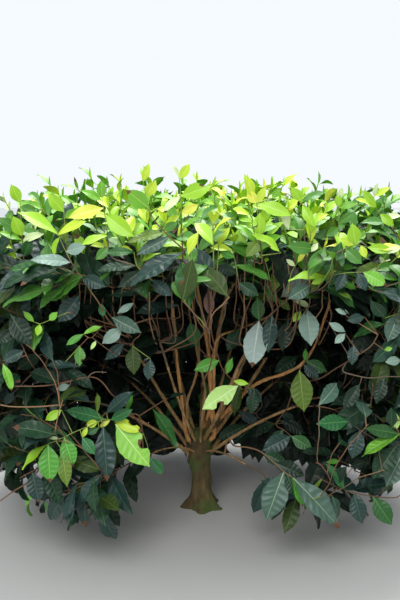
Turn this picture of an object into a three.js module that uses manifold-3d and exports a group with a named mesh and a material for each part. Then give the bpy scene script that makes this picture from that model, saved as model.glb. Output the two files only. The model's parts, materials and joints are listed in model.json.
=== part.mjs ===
// A tea bush as it stands in the field. A short knobbly trunk with a flared foot carries stems that fan out of its
// head, and each stem ends in a mass of twigs and leaves. The crown is plucked flat on top, where young shoots stand
// up, and mature leaves hang round its sides. In front it is open low down, so that the stems show.
// Millimetres, +Z up, the viewer at -Y. The origin is in the flat cut under the trunk, at ground level.

import * as THREE from "three";
import { mergeVertices } from "three/addons/utils/BufferGeometryUtils.js";
import Module from "manifold-3d";

const wasm = await Module();
wasm.setup();

// The crown's outline
const TOP_HEIGHT = 870; // the tips of the tallest young leaves
const BELLY_HEIGHT = 430; // where the crown is widest
const SKIRT_HEIGHT = 90; // its lowest leaf tips
const HALF_WIDTH = 640; // along X
const HALF_DEPTH = 560; // along Y
const SHOULDER = 4; // how square the crown's upper edge is
const TUCK = 0.34; // the share by which the crown draws in from its belly to the ground
const HIGH = 680; // shoots that end above this are young ones on the plucked table
const LOWEST_SHOOT = 150; // the height at which the lowest shoots end
const PROFILE_STEPS = 200;
// The layers in which shoots end: the share of the way out to the outline, the first one's azimuth, and the mm2 of
// the outline for each shoot on the table and on the sides.
const SHOOT_LAYERS = [
  { share: 0.9, start: 20, tablePatch: 25000, sidePatch: 43000 },
  { share: 0.74, start: 75, tablePatch: 160000, sidePatch: 92000 },
];
const WINDOW_HEIGHT = 560; // the open stretch of the front, where the stems show
const WINDOW_HALF_ANGLE = 30;

// The trunk
const TRUNK_HEIGHT = 204;
const TRUNK_LEAN = -9; // how far its head stands to the left of its foot
const TRUNK_SHARES = [0, 0.05, 0.14, 0.32, 0.55, 0.74, 0.88, 0.96, 1]; // of the height
const TRUNK_RADII = [47, 38, 29, 24, 25, 31, 29, 20, 9]; // a flared foot, a neck and a knobbly head
const FLARE_LOBES = 5; // root buttresses
const FLARE_DEPTH = 0.2;
const FLARE_TURN = 0.6;
const FLARE_SHARE = 0.22; // of the height, over which the buttresses fade
const GNARLS = [
  { depth: 0.07, lobes: 3, twist: 9 },
  { depth: 0.04, lobes: 7, twist: -14 },
];
const TRUNK_SIDES = 18;
const FAN_HEIGHT = 140; // all stems fan out from the trunk's axis at this height

// The stems
const BOUGH_SIDES = 7;
const BOUGH_STEPS = 6;
const BOUGH_COLLAR = 0.35; // the share by which a stem is thicker where it leaves the trunk
const BOUGH_KNEE = 0.42; // where along it a stem bends
// The middle stem leaves the trunk's head sideways at a pruning elbow, rises straight from there and leans back in.
const ELBOW = [
  [26, -13, 186],
  [25, -14, 236],
  [16, -12, 360],
];
const BALLS_A_LIMB = 40;
const GAP = 0.3; // between one solid and the next where they meet
const MERGE_DISTANCE = 1e-3; // vertices closer than this are one

// Twigs and leaves
const TWIG_SIDES = 3;
const TWIG_STEPS = 2;
const TWIG_JOINTS = 3; // places along a twig where others may spring from it
const TWIG_TIP_RADIUS = 2;
const TWIG_SWELL = 0.009; // radius gained for each millimetre of a twig's length
const TWIG_FOOT_SHARE = 0.7; // the most of its parent's radius that a twig's foot may have
const TWIG_LEAST = 40; // its least length
const TWIG_TURN = 88; // the most by which it turns away from the limb that it springs from, in degrees
const TWIG_STRAIGHT = 0.45; // the share of a mass's first twig that runs straight on from the bough
const TWIG_BEND = 0.42; // where the others bend, and how far they first carry on as their parent does
const TWIG_CARRY = 0.2;
const TWIG_TESTS = 12;
const NEAR_BOUGH = 30; // over this length from its start, a twig may lie close to its own bough
const JOINT_TRIES = 8;
const TURN_EFFORT = 160; // what growing costs, in mm: each radian of a turn, and each mm of the way to an end,
const WAY_EFFORT = 0.4;
const BACK_EFFORT = 0.5; // and each mm that lies between the mass's foot and the joint
const CELL_MARGIN = 1.6; // from a mass to the planes that bound its space
const LIMB_MARGIN = 3; // from a twig to any other limb
const LEAF_MARGIN = 8; // from a leaf's sampled points to any limb's surface
const LEAF_ROOT_SHARE = 0.3; // how far a leaf's root is sunk past its twig's middle, as a share of the twig's radius
const LEAF_THICKNESS_SHARE = 0.024; // of its length, at its ridge
const LEAF_ARCH = 0.05; // how far its edges rise, and its tip falls, as shares of its length
const LEAF_DROOP = 0.14;
const WIDEST = 0.4; // where along its length it is widest and its ridge is highest
const LEAF_NECK = 8; // the stretch of a leaf next to its twig, where it may touch what the twig touches
const YOUNG = { length: 112, width: 56, lift: 0.6, outward: 0.05, facing: 0.75, spacing: 24, from: 26, to: 62 };
const SPREADING = { length: 150, width: 80, lift: -0.1, outward: 0.2, facing: 0.5, spacing: 26, from: 60, to: 84 };
const HANGING = { length: 165, width: 88, lift: -0.7, outward: 0.12, facing: 1.75, spacing: 30, from: 40, to: 84 };
const LEAVES_A_SHOOT = 8;
const YOUNG_LEAVES = 3; // at the tip of a shoot that reaches the table
const TIP_ANGLE = 12; // between the end of a twig and the leaf on its tip
const LEAST_SIZE = 0.86;
const MOST_SIZE = 1.1;
const BUD_SIZE = 0.7; // the size of the leaf on the tip of a young shoot
const LEAF_TILT = 0.9; // the range of its tilt about its midrib, in radians
const LEAF_TRIES = 8; // turns round the twig that a leaf tries at full size, and again smaller
const TRY_TURN = 47;
const SMALLER = 0.74;
const MIDRIB_SHARES = [0.3, 0.55, 0.8, 1]; // places along a leaf at which its distance from others is measured
const SAMPLE_ROWS = 9;
const FIRST_LEAF = 0.985; // the shares of a twig's length between which its leaves sit
const LAST_LEAF = 0.1;
const UPRIGHT = 0.9; // the least rise of a twig that counts as upright
const GOLDEN_ANGLE = 137.50776405;

const BARK = { color: 0x6f5a38, roughness: 0.9, metalness: 0 };
const STEM = { color: 0x7a5a36, roughness: 0.8, metalness: 0 };
const YOUNG_GREEN = { color: 0xb4d83c, roughness: 0.45, metalness: 0 };
const MATURE_GREEN = { color: 0x2c4a36, roughness: 0.35, metalness: 0 };
const SPRAY_GREEN = { color: 0x7fb64a, roughness: 0.4, metalness: 0 };

const UP = new THREE.Vector3(0, 0, 1);
const FAN = new THREE.Vector3(0, 0, FAN_HEIGHT);
const radians = THREE.MathUtils.degToRad;
const mix = THREE.MathUtils.lerp;

// The same row of numbers from 0 to 1 each time for one seed.
function randomFrom(seed) {
  const modulus = 2147483647;
  let state = seed * 7919 + 17;
  return () => {
    state = (state * 16807) % modulus;
    return state / modulus;
  };
}

// A direction by its azimuth (0 is +X, 270 is the front) and its elevation, in degrees.
function direction(azimuth, elevation) {
  const flat = Math.cos(radians(elevation));
  return new THREE.Vector3(
    flat * Math.cos(radians(azimuth)),
    flat * Math.sin(radians(azimuth)),
    Math.sin(radians(elevation)),
  );
}

// How far out a point is: 0 on the crown's axis and 1 on its outline.
function reach(point) {
  const across = Math.hypot(point.x / HALF_WIDTH, point.y / HALF_DEPTH);
  if (point.z >= BELLY_HEIGHT) {
    const rise = (point.z - BELLY_HEIGHT) / (TOP_HEIGHT - BELLY_HEIGHT);
    return (across ** SHOULDER + rise ** SHOULDER) ** (1 / SHOULDER);
  }
  return across / (1 - TUCK * ((BELLY_HEIGHT - point.z) / BELLY_HEIGHT) ** 2);
}

// The masses. Each has the direction in which its stem leaves the fan, that stem's length, its diameter at the trunk
// and at its tip, the height at which it leaves the trunk's axis, and the share of its length by which it sags. A
// mass keeps to the directions nearest its own, so flat planes through the fan's point divide the crown.
const TABLE_SIDES = ["front_left", "front_right", "right", "back_right", "back_left", "left"];
const SKIRT_SIDES = ["left", "right", "back_right", "back", "back_left"];
const SKIRT_AZIMUTHS = [203, 337, 36, 90, 144];
const masses = [
  { name: "crest", toward: direction(60, 85), stem: 335, thick: 15, thin: 8.5, start: 172, sag: 0 },
  ...TABLE_SIDES.map((side, i) => ({
    name: "table_" + side,
    toward: direction(240 + 60 * i, 58),
    stem: [318, 300, 330, 310, 325, 305][i],
    thick: [9.5, 13, 14, 12, 14, 13][i],
    thin: [6.4, 7.4, 7.6, 7, 7.6, 7.2][i],
    start: [150, 158, 146, 156, 148, 154][i],
    sag: 0.1,
  })),
  ...SKIRT_SIDES.map((side, i) => ({
    name: "skirt_" + side,
    toward: direction(SKIRT_AZIMUTHS[i], 32),
    stem: [262, 282, 270, 258, 272][i],
    thick: [11, 10, 12, 11, 12][i],
    thin: [6.6, 6.4, 6.8, 6.6, 6.8][i],
    start: [112, 118, 108, 116, 110][i],
    sag: -0.1,
  })),
  { name: "low_left", toward: direction(235, 17), stem: 205, thick: 6.4, thin: 4.6, start: 134, sag: -0.16 },
  { name: "low_right", toward: direction(302, 9), stem: 190, thick: 6.4, thin: 4.6, start: 142, sag: -0.14 },
  { name: "hanging_front", toward: direction(271, 43), stem: 352, thick: 7, thin: 4.2, start: 132, sag: -0.16 },
];

// A mass's colour: young green on the plucked table, dark green on the sides, and fresh green on the low left spray.
function greenOf({ name }) {
  if (name === "low_left") return SPRAY_GREEN;
  return name === "crest" || name.startsWith("table") ? YOUNG_GREEN : MATURE_GREEN;
}

// Solids from three.js geometry, and back
function solidOf(geometry) {
  geometry.deleteAttribute("normal");
  geometry.deleteAttribute("uv");
  const merged = mergeVertices(geometry, MERGE_DISTANCE);
  return new wasm.Manifold(
    new wasm.Mesh({
      numProp: 3,
      vertProperties: merged.attributes.position.array,
      triVerts: new Uint32Array(merged.index.array),
    }),
  );
}

// The largest closed body of a solid, which leaves out loose scraps and the walls of sealed hollows.
function largestBody(solid) {
  return solid.decompose().reduce((best, body) => (body.volume() > best.volume() ? body : best));
}

function geometryOf(solid) {
  const data = solid.getMesh();
  const geometry = new THREE.BufferGeometry();
  geometry.setAttribute("position", new THREE.BufferAttribute(data.vertProperties, data.numProp));
  geometry.setIndex(new THREE.BufferAttribute(data.triVerts, 1));
  return geometry;
}

// A node's mesh. Its vertices are merged as they are in the solids, and what hung by less than that is let go.
function meshOf(name, solid, look) {
  const geometry = geometryOf(largestBody(solidOf(geometryOf(solid))));
  geometry.computeVertexNormals();
  const mesh = new THREE.Mesh(geometry, new THREE.MeshStandardMaterial(look));
  mesh.name = name;
  return mesh;
}

// A round limb along a curve. radiusAt gives its radius for a share of the length.
function limbSolid(curve, sides, steps, radiusAt) {
  const geometry = new THREE.CylinderGeometry(1, 1, 1, sides, steps);
  const frames = curve.computeFrenetFrames(steps, false);
  const position = geometry.attributes.position;
  for (let i = 0; i < position.count; i++) {
    const share = position.getY(i) + 0.5;
    const ring = Math.round(share * steps);
    const radius = radiusAt(share);
    const point = curve.getPointAt(share);
    point.addScaledVector(frames.binormals[ring], position.getX(i) * radius);
    point.addScaledVector(frames.normals[ring], position.getZ(i) * radius);
    position.setXYZ(i, point.x, point.y, point.z);
  }
  return solidOf(geometry);
}

// A point of the straight stretches that such a limb's solid has between its rings.
function onStretches(curve, steps, share) {
  const ring = Math.min(steps - 1, Math.floor(share * steps));
  return curve.getPointAt(ring / steps).lerp(curve.getPointAt((ring + 1) / steps), share * steps - ring);
}

// The trunk
function trunkAxis(height) {
  const share = height / TRUNK_HEIGHT;
  return new THREE.Vector3(TRUNK_LEAN * Math.sin((share * Math.PI) / 2), 0, height);
}

function trunkRadius(share) {
  const after = Math.max(1, TRUNK_SHARES.findIndex((height) => height >= share));
  const [low, high] = [TRUNK_SHARES[after - 1], TRUNK_SHARES[after]];
  return mix(TRUNK_RADII[after - 1], TRUNK_RADII[after], (share - low) / (high - low));
}

// The trunk's solid, grown outwards by a little where stems are cut off at it.
function trunkSolid(grow) {
  const rings = TRUNK_SHARES.length - 1;
  const geometry = new THREE.CylinderGeometry(1, 1, 1, TRUNK_SIDES, rings);
  const position = geometry.attributes.position;
  for (let i = 0; i < position.count; i++) {
    const ring = Math.round((position.getY(i) + 0.5) * rings);
    const share = TRUNK_SHARES[ring];
    const around = Math.atan2(position.getX(i), position.getZ(i));
    const fade = Math.max(0, 1 - share / FLARE_SHARE);
    const flare = 1 + FLARE_DEPTH * fade * Math.cos(FLARE_LOBES * around + FLARE_TURN);
    const gnarls = GNARLS.map(({ depth, lobes, twist }) => depth * Math.sin(lobes * around + twist * share));
    const wide = TRUNK_RADII[ring] * flare * (1 + gnarls[0] + gnarls[1]) + grow;
    const middle = trunkAxis(share * TRUNK_HEIGHT);
    const top = share === 1 ? grow : 0;
    position.setXYZ(i, middle.x + position.getX(i) * wide, middle.y - position.getZ(i) * wide, middle.z + top);
  }
  return solidOf(geometry);
}

// The stems
function boughCurve(mass) {
  const foot = trunkAxis(mass.start);
  const tip = FAN.clone().addScaledVector(mass.toward, mass.stem);
  if (mass.name === "crest") {
    const route = [foot, ...ELBOW.map((at) => new THREE.Vector3(...at)), tip];
    return new THREE.CatmullRomCurve3(route, false, "centripetal");
  }
  const knee = foot.clone().lerp(tip, BOUGH_KNEE).addScaledVector(UP, -mass.sag * tip.distanceTo(foot));
  return new THREE.QuadraticBezierCurve3(foot, knee, tip);
}

function boughRadius(mass, share) {
  const thick = mass.thick * (1 + BOUGH_COLLAR * Math.exp(-share * 14));
  return mix(thick, mass.thin, share ** 0.8) / 2;
}

// Every limb as a row of balls, for the tests that keep twigs and leaves off it.
const limbBalls = [];
function addBalls(owner, curve, radiusAt) {
  for (let i = 0; i <= BALLS_A_LIMB; i++) {
    const share = i / BALLS_A_LIMB;
    limbBalls.push({ owner, at: curve.getPointAt(share), radius: radiusAt(share) });
  }
}

function nearestLimb(point, skipped) {
  let least = Infinity;
  for (const ball of limbBalls) {
    if (ball.owner !== skipped) least = Math.min(least, ball.at.distanceTo(point) - ball.radius);
  }
  return least;
}

// True if a point lies in a mass's own space, with some room.
function inside(mass, point, margin) {
  if (reach(point) > 1 || point.z < SKIRT_HEIGHT) return false;
  const out = point.clone().sub(FAN);
  return masses.every(
    (other) => other === mass || out.dot(mass.toward.clone().sub(other.toward).normalize()) > margin,
  );
}

function ownerOf(point) {
  const out = point.clone().sub(FAN);
  return masses.reduce((best, mass) => (out.dot(mass.toward) > out.dot(best.toward) ? mass : best));
}

// The outline from the middle of the top down to the skirt, as pairs of a share of the half width and a height.
function outlineProfile() {
  const upper = Array.from({ length: PROFILE_STEPS }, (_, i) => {
    const turn = (i / PROFILE_STEPS) * (Math.PI / 2);
    const rise = Math.cos(turn) ** (2 / SHOULDER);
    return [Math.sin(turn) ** (2 / SHOULDER), BELLY_HEIGHT + rise * (TOP_HEIGHT - BELLY_HEIGHT)];
  });
  const lower = Array.from({ length: PROFILE_STEPS }, (_, i) => {
    const drop = (i / PROFILE_STEPS) * (BELLY_HEIGHT - LOWEST_SHOOT);
    return [1 - TUCK * (drop / BELLY_HEIGHT) ** 2, BELLY_HEIGHT - drop];
  });
  return [...upper, ...lower];
}

// The ends of all shoots. In each layer they follow one spiral by the golden angle from the top down, with the same
// patch of the outline for each, so that they lie evenly on all sides.
function shootEnds() {
  const profile = outlineProfile();
  const radius = (HALF_WIDTH + HALF_DEPTH) / 2;
  const ends = [];
  for (const { share, start, tablePatch, sidePatch } of SHOOT_LAYERS) {
    let due = 0.5;
    let placed = 0;
    for (let i = 1; i < profile.length; i++) {
      const [across, height] = profile[i];
      const step = Math.hypot((across - profile[i - 1][0]) * radius, height - profile[i - 1][1]);
      const z = BELLY_HEIGHT + (height - BELLY_HEIGHT) * (height > BELLY_HEIGHT ? share : 1);
      due += (2 * Math.PI * across * radius * step * share ** 2) / (z > HIGH ? tablePatch : sidePatch);
      for (; placed + 1 < due; placed++) {
        const azimuth = start + placed * GOLDEN_ANGLE;
        const offFront = Math.abs((((azimuth + 90) % 360) + 540) % 360 - 180);
        if (z < WINDOW_HEIGHT && offFront < WINDOW_HALF_ANGLE) continue;
        const around = direction(azimuth, 0).multiplyScalar(across * share);
        ends.push(new THREE.Vector3(around.x * HALF_WIDTH, around.y * HALF_DEPTH, z));
      }
    }
  }
  return ends;
}

// Extra shoots of the low sprays and of the hanging one: ends spread round one point, flatter from front to back.
const SPRAY_FLATNESS = 0.45;
const SPRAY_SHUFFLE = 1.7; // keeps its depths out of step with its heights
const SPRAYS = {
  low_left: { middle: new THREE.Vector3(-250, -292, 268), wide: 96, high: 44, count: 7 },
  low_right: { middle: new THREE.Vector3(205, -312, 176), wide: 84, high: 34, count: 6 },
  hanging_front: { middle: new THREE.Vector3(34, -322, 316), wide: 26, high: 46, count: 3 },
};

function sprayEnds(name) {
  const { middle, wide, high, count } = SPRAYS[name];
  return Array.from({ length: count }, (_, i) => {
    const turn = radians(i * GOLDEN_ANGLE);
    const far = Math.sqrt((i + 0.5) / count);
    return new THREE.Vector3(
      middle.x + wide * far * Math.cos(turn),
      middle.y + SPRAY_FLATNESS * wide * far * Math.sin(turn * SPRAY_SHUFFLE),
      middle.z + high * far * Math.sin(turn),
    );
  });
}

// One leaf: a thin arched blade with its root sunk past the twig's middle, a ridge over its midrib, and its edges
// widest at WIDEST of its length.
function leafPoints(root, depth, along, normal, kind, size) {
  const length = kind.length * size;
  const across = along.clone().cross(normal).normalize();
  const place = (x, y, z) =>
    root.clone().addScaledVector(across, x).addScaledVector(along, y).addScaledVector(normal, z);
  const side = (kind.width * size) / 2;
  const rise = LEAF_ARCH * length;
  return {
    root: place(0, -depth, 0),
    tip: place(0, length, -LEAF_DROOP * length),
    left: place(-side, WIDEST * length, rise),
    right: place(side, WIDEST * length, rise),
    ridge: place(0, WIDEST * length, rise + LEAF_THICKNESS_SHARE * length),
  };
}

// A sphere of two poles and a ring of three vertices, drawn out to the leaf's five corners.
function leafSolid(leaf) {
  const ring = [leaf.left, leaf.ridge, leaf.right];
  const geometry = new THREE.SphereGeometry(1, ring.length, 2);
  const position = geometry.attributes.position;
  for (let i = 0; i < position.count; i++) {
    const height = position.getY(i);
    const turn = Math.atan2(position.getZ(i), -position.getX(i)) / (2 * Math.PI);
    const corner = ring[Math.round((turn + 1) * ring.length) % ring.length];
    const point = height > 0.5 ? leaf.tip : height < -0.5 ? leaf.root : corner;
    position.setXYZ(i, point.x, point.y, point.z);
  }
  return solidOf(geometry);
}

// A point of a line along a leaf, from its root to its tip by way of one of its widest corners.
function bentLine(root, corner, tip, share) {
  if (share < WIDEST) return root.clone().lerp(corner, share / WIDEST);
  return corner.clone().lerp(tip, (share - WIDEST) / (1 - WIDEST));
}

// Points spread over a leaf, close enough together that no limb slips between them.
function leafSamples(leaf) {
  const samples = [];
  for (let i = 1; i <= SAMPLE_ROWS; i++) {
    const share = i / SAMPLE_ROWS;
    const middle = bentLine(leaf.root, leaf.ridge, leaf.tip, share);
    for (const edge of [leaf.left, leaf.right]) {
      const side = bentLine(leaf.root, edge, leaf.tip, share);
      samples.push(middle, side, middle.clone().lerp(side, 0.5));
    }
  }
  return samples;
}

// The ends of a mass in the order in which shoots grow to them: the ones straight ahead and near come first.
function inOrder(ends, base, heading) {
  const effort = (end) => {
    const way = end.clone().sub(base);
    return way.angleTo(heading) * TURN_EFFORT + way.length() * WAY_EFFORT;
  };
  return [...ends].sort((a, b) => effort(a) - effort(b));
}

// A twig from a joint to an end. The first one carries straight on from the bough, and the others bend.
function twigBetween(mass, joint, end, first) {
  const length = joint.at.distanceTo(end);
  const bend = joint.at.clone().addScaledVector(joint.heading, TWIG_STRAIGHT * length);
  if (!first) {
    bend.copy(joint.at).lerp(end, TWIG_BEND).addScaledVector(joint.heading, TWIG_CARRY * length);
    bend.addScaledVector(UP, (-mass.sag * length) / 2);
  }
  const held = Math.max(TWIG_TIP_RADIUS, joint.radius * TWIG_FOOT_SHARE);
  const foot = first ? joint.radius : Math.min(held, TWIG_TIP_RADIUS + TWIG_SWELL * length);
  return {
    curve: new THREE.QuadraticBezierCurve3(joint.at.clone(), bend, end),
    radiusAt: (share) => mix(foot, TWIG_TIP_RADIUS, share),
    length,
  };
}

// True if a twig stays in its mass's space and off every limb but the bough that it starts from.
function isClear(mass, joint, { curve, radiusAt, length }) {
  return Array.from({ length: TWIG_TESTS }, (_, i) => (i + 1) / TWIG_TESTS).every((share) => {
    const point = curve.getPointAt(share);
    const own = share * length + joint.along < NEAR_BOUGH ? mass.name : null;
    const room = radiusAt(share) + LIMB_MARGIN;
    return inside(mass, point, radiusAt(share) + CELL_MARGIN) && nearestLimb(point, own) > room;
  });
}

// The twigs of a mass: a stem that carries on from its bough, then one shoot for each end, grown from whichever
// joint of the twigs so far gives the shortest way.
function growTwigs(mass, bough, ends) {
  const heading = bough.getTangentAt(1);
  const base = bough.getPointAt(1).addScaledVector(heading, GAP);
  const twigs = [];
  let joints = [{ at: base, heading, along: 0, radius: mass.thin / 2 }];
  for (const end of inOrder(ends, base, heading)) {
    const effort = (joint) => joint.at.distanceTo(end) + BACK_EFFORT * joint.along;
    const nearest = [...joints].sort((a, b) => effort(a) - effort(b)).slice(0, JOINT_TRIES);
    for (const joint of nearest) {
      const way = end.clone().sub(joint.at);
      if (way.length() < TWIG_LEAST || way.angleTo(joint.heading) > radians(TWIG_TURN)) continue;
      const twig = twigBetween(mass, joint, end, !twigs.length);
      if (!isClear(mass, joint, twig)) continue;
      if (!twigs.length) joints = []; // the others spring from the twigs, not from the bough's own tip
      for (let i = 1; i <= TWIG_JOINTS; i++) {
        const share = i / (TWIG_JOINTS + 1);
        joints.push({
          at: onStretches(twig.curve, TWIG_STEPS, share),
          heading: twig.curve.getTangentAt(share),
          along: joint.along + share * twig.length,
          radius: twig.radiusAt(share),
        });
      }
      twigs.push(twig);
      break;
    }
  }
  return twigs;
}

// The least distance between two rows of points.
function clearanceOf(row, rows) {
  let least = Infinity;
  for (const other of rows) {
    for (const point of row) {
      for (const theirs of other) least = Math.min(least, point.distanceTo(theirs));
    }
  }
  return least;
}

// The choices for one leaf: at each turn round the twig, the leaf there if it keeps to its mass's space.
function leafChoices(mass, kind, twig, back, size, angle, phase, random, midribs) {
  const at = onStretches(twig.curve, TWIG_STEPS, Math.min(FIRST_LEAF, 1 - back));
  const heading = twig.curve.getTangentAt(1 - back);
  const outward = new THREE.Vector3(at.x, at.y, 0).normalize();
  const side = heading.clone().cross(Math.abs(heading.z) > UPRIGHT ? outward : UP).normalize();
  const depth = twig.radiusAt(1 - back) * LEAF_ROOT_SHARE;
  const choices = [];
  for (let turn = 0; turn < 2 * LEAF_TRIES; turn++) {
    if (turn === LEAF_TRIES && choices.length) break;
    const radial = side.clone().applyAxisAngle(heading, radians(phase + turn * TRY_TURN));
    const along = heading.clone().multiplyScalar(Math.cos(angle)).addScaledVector(radial, Math.sin(angle));
    along.addScaledVector(UP, kind.lift).addScaledVector(outward, kind.outward).normalize();
    const normal = UP.clone().addScaledVector(outward, kind.facing);
    normal.addScaledVector(along, -normal.dot(along)).normalize();
    normal.applyAxisAngle(along, (random() - 0.5) * LEAF_TILT);
    const drawn = turn < LEAF_TRIES ? size : size * SMALLER;
    const leaf = leafPoints(at, depth, along, normal, kind, drawn);
    if (!Object.values(leaf).every((point) => inside(mass, point, CELL_MARGIN))) continue;
    if (leafSamples(leaf).some((point) => nearestLimb(point, null) < LEAF_MARGIN)) continue;
    const midrib = MIDRIB_SHARES.map((share) => leaf.root.clone().lerp(leaf.tip, share));
    const blade = leafSolid(leafPoints(at, -LEAF_NECK, along, normal, kind, drawn));
    choices.push({ leaf, midrib, blade, clearance: clearanceOf(midrib, midribs) });
  }
  return choices.sort((a, b) => b.clearance - a.clearance);
}

// The leaves of one twig, from its tip down. Each takes the freest of its choices, and is left out where its blade
// would cross what has grown before.
function growLeaves(mass, twig, random, midribs, grown) {
  const phase = random() * 360;
  const high = twig.curve.getPointAt(1).z > HIGH;
  for (let i = 0; i < LEAVES_A_SHOOT; i++) {
    const kind = high ? (i < YOUNG_LEAVES ? YOUNG : SPREADING) : HANGING;
    const back = (i * kind.spacing) / twig.length;
    if (1 - back < LAST_LEAF) break;
    const unfolded = kind === YOUNG ? mix(BUD_SIZE, MOST_SIZE, i / YOUNG_LEAVES) : 1;
    const size = mix(LEAST_SIZE, MOST_SIZE, random()) * unfolded;
    const angle = radians(i === 0 ? TIP_ANGLE : mix(kind.from, kind.to, i / LEAVES_A_SHOOT));
    const turned = phase + i * GOLDEN_ANGLE;
    const choices = leafChoices(mass, kind, twig, back, size, angle, turned, random, midribs);
    const best = choices.find(({ blade }) => grown.every((piece) => blade.intersect(piece).isEmpty()));
    if (!best) continue;
    midribs.push(best.midrib);
    grown.push(leafSolid(best.leaf));
  }
}

// One mass: its twigs with their leaves, fused.
function massSolid(mass, index, bough, ends) {
  const random = randomFrom(101 + index);
  const midribs = [];
  const twigs = growTwigs(mass, bough, ends);
  const grown = twigs.map(({ curve, radiusAt }) => limbSolid(curve, TWIG_SIDES, TWIG_STEPS, radiusAt));
  for (const twig of twigs) growLeaves(mass, twig, random, midribs, grown);
  return wasm.Manifold.union(grown);
}

// The bush
const bush = new THREE.Group();
bush.name = "tea_bush";
bush.add(meshOf("trunk", trunkSolid(0), BARK));

const grownTrunk = trunkSolid(GAP);
const trunkCurve = new THREE.CatmullRomCurve3(TRUNK_SHARES.map((share) => trunkAxis(share * TRUNK_HEIGHT)));
addBalls("trunk", trunkCurve, (share) => trunkRadius(share) * (1 + FLARE_DEPTH));

const boughs = masses.map(boughCurve);
masses.forEach((mass, i) => {
  addBalls(mass.name, boughs[i], (share) => boughRadius(mass, share));
  const whole = limbSolid(boughs[i], BOUGH_SIDES, BOUGH_STEPS, (share) => boughRadius(mass, share));
  bush.add(meshOf("bough_" + mass.name, whole.subtract(grownTrunk), STEM));
});

const ends = shootEnds();
const owners = ends.map(ownerOf);
masses.forEach((mass, i) => {
  const own = SPRAYS[mass.name] ? sprayEnds(mass.name) : [];
  own.push(...ends.filter((_, n) => owners[n] === mass));
  bush.add(meshOf("leaves_" + mass.name, massSolid(mass, i, boughs[i], own), greenOf(mass)));
});

export default bush;
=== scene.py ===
"""Looks of the tea bush: bark on its trunk and stems, twigs, and leaves from the young shoots on the
plucked table down to the dark skirt. The limbs, the spaces of the masses and the rule by which shoots
grow are the part's own, carried here to finer twigs and leaves of life size. Growth is worked out in
millimetres, and meshes are in metres.
"""

from __future__ import annotations

import json
import logging
import math
from dataclasses import dataclass, field
from enum import Enum

import bpy
import numpy as np
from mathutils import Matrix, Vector, noise
from mathutils.bvhtree import BVHTree

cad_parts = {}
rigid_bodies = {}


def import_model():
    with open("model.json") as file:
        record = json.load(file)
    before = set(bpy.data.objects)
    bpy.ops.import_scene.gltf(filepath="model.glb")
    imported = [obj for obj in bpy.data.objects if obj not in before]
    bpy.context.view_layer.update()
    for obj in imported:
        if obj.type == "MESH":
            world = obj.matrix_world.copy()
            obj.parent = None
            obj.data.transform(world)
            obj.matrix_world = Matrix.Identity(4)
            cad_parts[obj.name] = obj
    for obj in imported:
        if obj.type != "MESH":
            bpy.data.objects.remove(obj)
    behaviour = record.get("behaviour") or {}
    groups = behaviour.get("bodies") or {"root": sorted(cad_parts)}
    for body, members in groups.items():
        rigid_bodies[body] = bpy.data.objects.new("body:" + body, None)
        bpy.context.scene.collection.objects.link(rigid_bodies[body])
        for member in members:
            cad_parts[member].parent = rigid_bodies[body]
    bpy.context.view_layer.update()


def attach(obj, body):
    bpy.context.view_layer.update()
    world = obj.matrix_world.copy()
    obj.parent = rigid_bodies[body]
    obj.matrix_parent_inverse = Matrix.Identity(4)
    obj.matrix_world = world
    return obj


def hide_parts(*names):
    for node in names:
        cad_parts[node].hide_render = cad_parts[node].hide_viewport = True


Piece = bpy.types.Object
Triple = tuple[float, float, float]
Station = tuple[float, float, float, float]
LOG = logging.getLogger("tea_bush")
MILLIMETRE = 0.001
GOLDEN_ANGLE = 137.50776405
UP = np.array([0.0, 0.0, 1.0])
IMAGE_SIZE = (400, 600)


def unit(vectors: np.ndarray) -> np.ndarray:
    """A vector, or rows of them, at length one."""
    return vectors / np.maximum(np.linalg.norm(vectors, axis=-1, keepdims=True), 1e-9)


def direction(azimuth: float, elevation: float) -> np.ndarray:
    """A unit vector by its degrees round from +X, so that 270 is the front, and above the horizontal."""
    turn, rise = math.radians(azimuth), math.radians(elevation)
    return np.array([math.cos(rise) * math.cos(turn), math.cos(rise) * math.sin(turn), math.sin(rise)])


def turned(vectors: np.ndarray, axis: np.ndarray, angles: np.ndarray) -> np.ndarray:
    """Vectors turned about one axis, or each about its own.

    Args:
        vectors: Rows of vectors.
        axis: A unit vector, or a row of them.
        angles: Radians, one for each row.

    Returns:
        The turned rows.
    """
    cosine, sine = np.cos(angles)[:, None], np.sin(angles)[:, None]
    along = np.sum(vectors * axis, axis=-1, keepdims=True) * axis
    across = np.cross(np.broadcast_to(axis, vectors.shape), vectors)
    return vectors * cosine + across * sine + along * (1 - cosine)


def smooth_route(stations: list[tuple[float, ...]] | np.ndarray, count: int) -> np.ndarray:
    """Points of a smooth curve through some stations.

    Args:
        stations: The points that it passes through, which may carry a radius as a fourth value.
        count: How many points it gets.

    Returns:
        The points of the curve, with whatever values the stations carry.
    """
    rows = np.asarray(stations, float)
    ends = np.vstack([2 * rows[0] - rows[1], rows, 2 * rows[-1] - rows[-2]])
    steps = np.linalg.norm(np.diff(rows[:, :3], axis=0), axis=1)
    where = np.concatenate([[0], np.cumsum(steps)]) / steps.sum()
    points = []
    for share in np.linspace(0, 1, count):
        span = min(int(np.searchsorted(where, share, side="right")) - 1, len(rows) - 2)
        t = (share - where[span]) / (where[span + 1] - where[span])
        a, b, c, d = ends[span : span + 4]
        square, cube = 2 * a - 5 * b + 4 * c - d, 3 * b - a - 3 * c + d
        points.append(0.5 * (2 * b + (c - a) * t + square * t**2 + cube * t**3))
    return np.array(points)


def bezier(foot: np.ndarray, bend: np.ndarray, tip: np.ndarray, shares: np.ndarray) -> np.ndarray:
    """Points at some shares of a curve that leaves its foot towards the bend and ends at its tip."""
    t = np.asarray(shares, float)[:, None]
    return foot * (1 - t) ** 2 + 2 * bend * t * (1 - t) + tip * t**2


# Finishes.


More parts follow.
